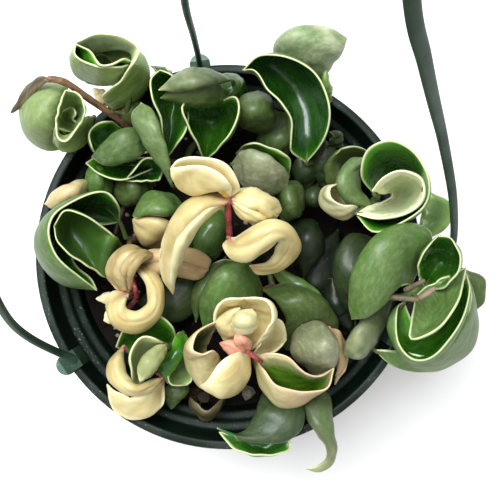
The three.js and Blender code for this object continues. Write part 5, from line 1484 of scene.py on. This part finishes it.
x, y, _ = seen((*STUB_PLACE, SOIL_LEVEL)) / MM
ground = mound(x, y)
stub = np.array([(x, y, ground - 2), (x + 1, y + 1, ground + 3), (x + 2, y + 1, ground + 6)]) * MM
points, faces, grain = tube(rod_curve(stub, 8), 7 * MM, 6 * MM, 16)
mix.add(points, faces, BARK["peat"], None, grain)
for k in range(ROOT_CRUMBS):
    place = (chance.gauss(ROOT_PLACE[0], 7), chance.gauss(ROOT_PLACE[1], 6), SOIL_LEVEL)
    x, y, _ = seen(place) / MM
    mix.add(*lump((x, y, mound(x, y) + 0.8), chance.uniform(0.6, 1.3), chance, 0.7), ROOT_CRUMB)
mix.build("soil", 35)

# %% [markdown]
# ## The hanger
# Three stiff arms clip over the rim and meet under a hook. They are oval bars, swept along the routes that
# the solids have. A bar that bends in two planes shows at once if it twists, so the width stays square to
# one starting direction all along. The clips are bent straps: an outline is extruded and its edges are
# bevelled.

# %% Hanger arms
COLLAR = np.array([12, 86, 468.0])
SOCKET_RADIUS, SOCKET_RUN, COLLAR_HEIGHT, COLLAR_RADIUS = 4.4, 24, 14, 8
ARM_WIDTH, ARM_THICKNESS = 4.6, 3.0
CLIP_OUTLINE = [
    (92.5, 119.4), (93.9, 119.4), (94.7, 130.4), (100.4, 130.4), (100.4, 123.4), (102.2, 123.4),
    (102.2, 132.2), (92.9, 132.2),
]
CLIP_WIDTH = 10
CLIP_LEVELS = [(-0.5, 0.35), (-0.46, 0.0), (0.46, 0.0), (0.5, 0.35)]
TONGUE_CENTRE, TONGUE_RADIUS, TONGUE_BOTTOM, TONGUE_TOP = 102.4, 5.5, 123.4, 125.2
ON_AXIS = 1e-5


def clip_parts(piece, angle):
    """The strap over the rim, with rounded edges, and the round tongue under it."""
    outline = rounded([(r, z, 0.5) for r, z in CLIP_OUTLINE], 2) / MM
    middle = outline.mean(axis=0)
    c, s = math.cos(angle), math.sin(angle)
    points = []
    for share, inset in CLIP_LEVELS:
        across = share * CLIP_WIDTH
        for r, z in outline:
            shrink = 1 - inset / 6
            r, z = middle[0] + (r - middle[0]) * shrink, middle[1] + (z - middle[1]) * shrink
            points.append((r * c - across * s, r * s + across * c, z))
    piece.add(np.array(points) * MM, rings_to_faces(len(CLIP_LEVELS), len(outline)), HANGER_SKIN)
    edge = [(TONGUE_RADIUS, TONGUE_BOTTOM, 0.5), (TONGUE_RADIUS, TONGUE_TOP, 0.7)]
    tongue = rounded([(0, TONGUE_BOTTOM, 0), *edge, (0, TONGUE_TOP, 0)], 3)
    tongue[0, 0] = tongue[-1, 0] = ON_AXIS
    place = (TONGUE_CENTRE * MM * c, TONGUE_CENTRE * MM * s)
    piece.add(*turn_about(tongue, 40, place), TONGUE_SKIN)


ARMS = {
    "north": (90, [(200, 67, 1.8), (198, 55, 16), (193.5, 36, 44), (184.5, 0, 100), (183, -60, 150)]),
    "west": (
        210, [(75, 359, 2.2), (62, 354, 9), (30, 338, 42), (0, 306, 105), (-26, 217, 170), (-44, 17, 225)]
    ),
    "east": (
        330,
        [
            (402, 341, 2.6), (420, 320, -3), (437, 296, -5), (448, 268, -4), (452, 250, -3),
            (454, 234, 8), (454, 215, 32), (452, 190, 58), (443, 140, 98), (433.5, 100, 140),
            (424.5, 60, 171), (412, 0, 200),
        ],
    ),
}
for name, (socket, route) in ARMS.items():
    points = [seen(p) for p in route]
    foot = math.atan2(points[0][1], points[0][0])
    turn = math.radians(socket)
    side = SOCKET_RADIUS * np.array([math.cos(turn), math.sin(turn), 0])
    below = COLLAR + side - (0, 0, SOCKET_RUN)
    top = COLLAR + side - (0, 0, 0.4)
    path = rod_curve([*points, below * MM, top * MM], 110)
    arm = Piece(f"hanger_{name}")
    across = np.array([-math.sin(foot), math.cos(foot), 0])
    if name == "north":
        across = np.array([math.cos(foot), math.sin(foot), 0])
    points, faces, _ = tube(path, ARM_WIDTH * MM, ARM_THICKNESS * MM, 16, across)
    arm.add(points, faces, HANGER_SKIN)
    clip_parts(arm, foot)
    arm.build(f"hanger_arm_{name}", 50)

# %% Collar and hook
HOOK_RADIUS, HOOK_ROD, HOOK_NECK, HOOK_TURN = 17, 2.4, 16, 270
HOOK_POINTS, HOOK_RINGS = 7, 120
hook = Piece("hanger_hook_rod")
x, y, z = COLLAR
collar = rounded([
    (0, z, 0), (COLLAR_RADIUS, z, 0.8), (7.9, z + 1.6, 0.5), (7.5, z + 2.2, 0.4), (6.5, z + 13.2, 0.8),
    (0, z + COLLAR_HEIGHT, 0),
])
collar[0, 0] = collar[-1, 0] = ON_AXIS
hook.add(*turn_about(collar, 48, (x * MM, y * MM)), HANGER_SKIN)
middle = z + COLLAR_HEIGHT + HOOK_NECK + HOOK_RADIUS
route = [(x, y, z + COLLAR_HEIGHT / 2)]
for k in range(HOOK_POINTS):
    angle = math.radians(-90 + HOOK_TURN * k / (HOOK_POINTS - 1))
    route.append((x + HOOK_RADIUS * math.cos(angle), y, middle + HOOK_RADIUS * math.sin(angle)))
path = rod_curve(np.array(route) * MM, HOOK_RINGS)
size = np.full(HOOK_RINGS, 2 * HOOK_ROD * MM)
size[-3:] *= (0.92, 0.75, 0.4)
points, faces, _ = tube(path, size, size, 20)
hook.add(points, faces, HANGER_SKIN)
hook.build("hanger_hook", 50)

# %% [markdown]
# ## Floor and light
# The floor is plain and pale. Light comes from a white surrounding and one soft panel at the upper left,
# which puts a broad highlight on each glossy leaf and leaves the folds dark.

# %% Floor and light
FLOOR_REACH = 4.0
STUDIO_WHITE, STUDIO_STRENGTH = (1, 0.99, 0.97, 1), 0.7
PANEL_PLACE, PANEL_AIM = (-0.22, 0.3, 0.95), (0, 0, 0.13)
PANEL_WATTS, PANEL_SIZE, PANEL_COLOUR = 15, 0.55, (0.93, 0.97, 1.0)
floor_mesh = bpy.data.meshes.new("floor")
corners = [(x * FLOOR_REACH, y * FLOOR_REACH, 0) for x, y in ((-1, -1), (1, -1), (1, 1), (-1, 1))]
floor_mesh.from_pydata(corners, [], [(0, 1, 2, 3)])
floor = bpy.data.objects.new("floor", floor_mesh)
bpy.context.scene.collection.objects.link(floor)
paper = Finish("paper")
paper_cloud = paper.noise(paper.place(), 3.0, 2.0, 0.5)
floor_mesh.materials.append(
    paper.set(Base_Color=paper.blend(paper_cloud * 0.2, "#f4f4f4", "#ededed"), Roughness=0.9)
)

world = bpy.data.worlds.new("studio")
bpy.context.scene.world = world
world.use_nodes = True
sky = world.node_tree.nodes["Background"]
sky.inputs["Color"].default_value = STUDIO_WHITE
sky.inputs["Strength"].default_value = STUDIO_STRENGTH

panel = bpy.data.lights.new("panel", "AREA")
panel.energy = PANEL_WATTS
panel.size = PANEL_SIZE
panel.color = PANEL_COLOUR
lamp = bpy.data.objects.new("panel", panel)
lamp.location = PANEL_PLACE
aim = Vector(PANEL_AIM) - lamp.location
lamp.rotation_euler = aim.to_track_quat("-Z", "Y").to_euler()
bpy.context.scene.collection.objects.link(lamp)
bpy.context.scene.view_settings.view_transform = "Standard"
print("panel", round(aim.length, 2), "m away")
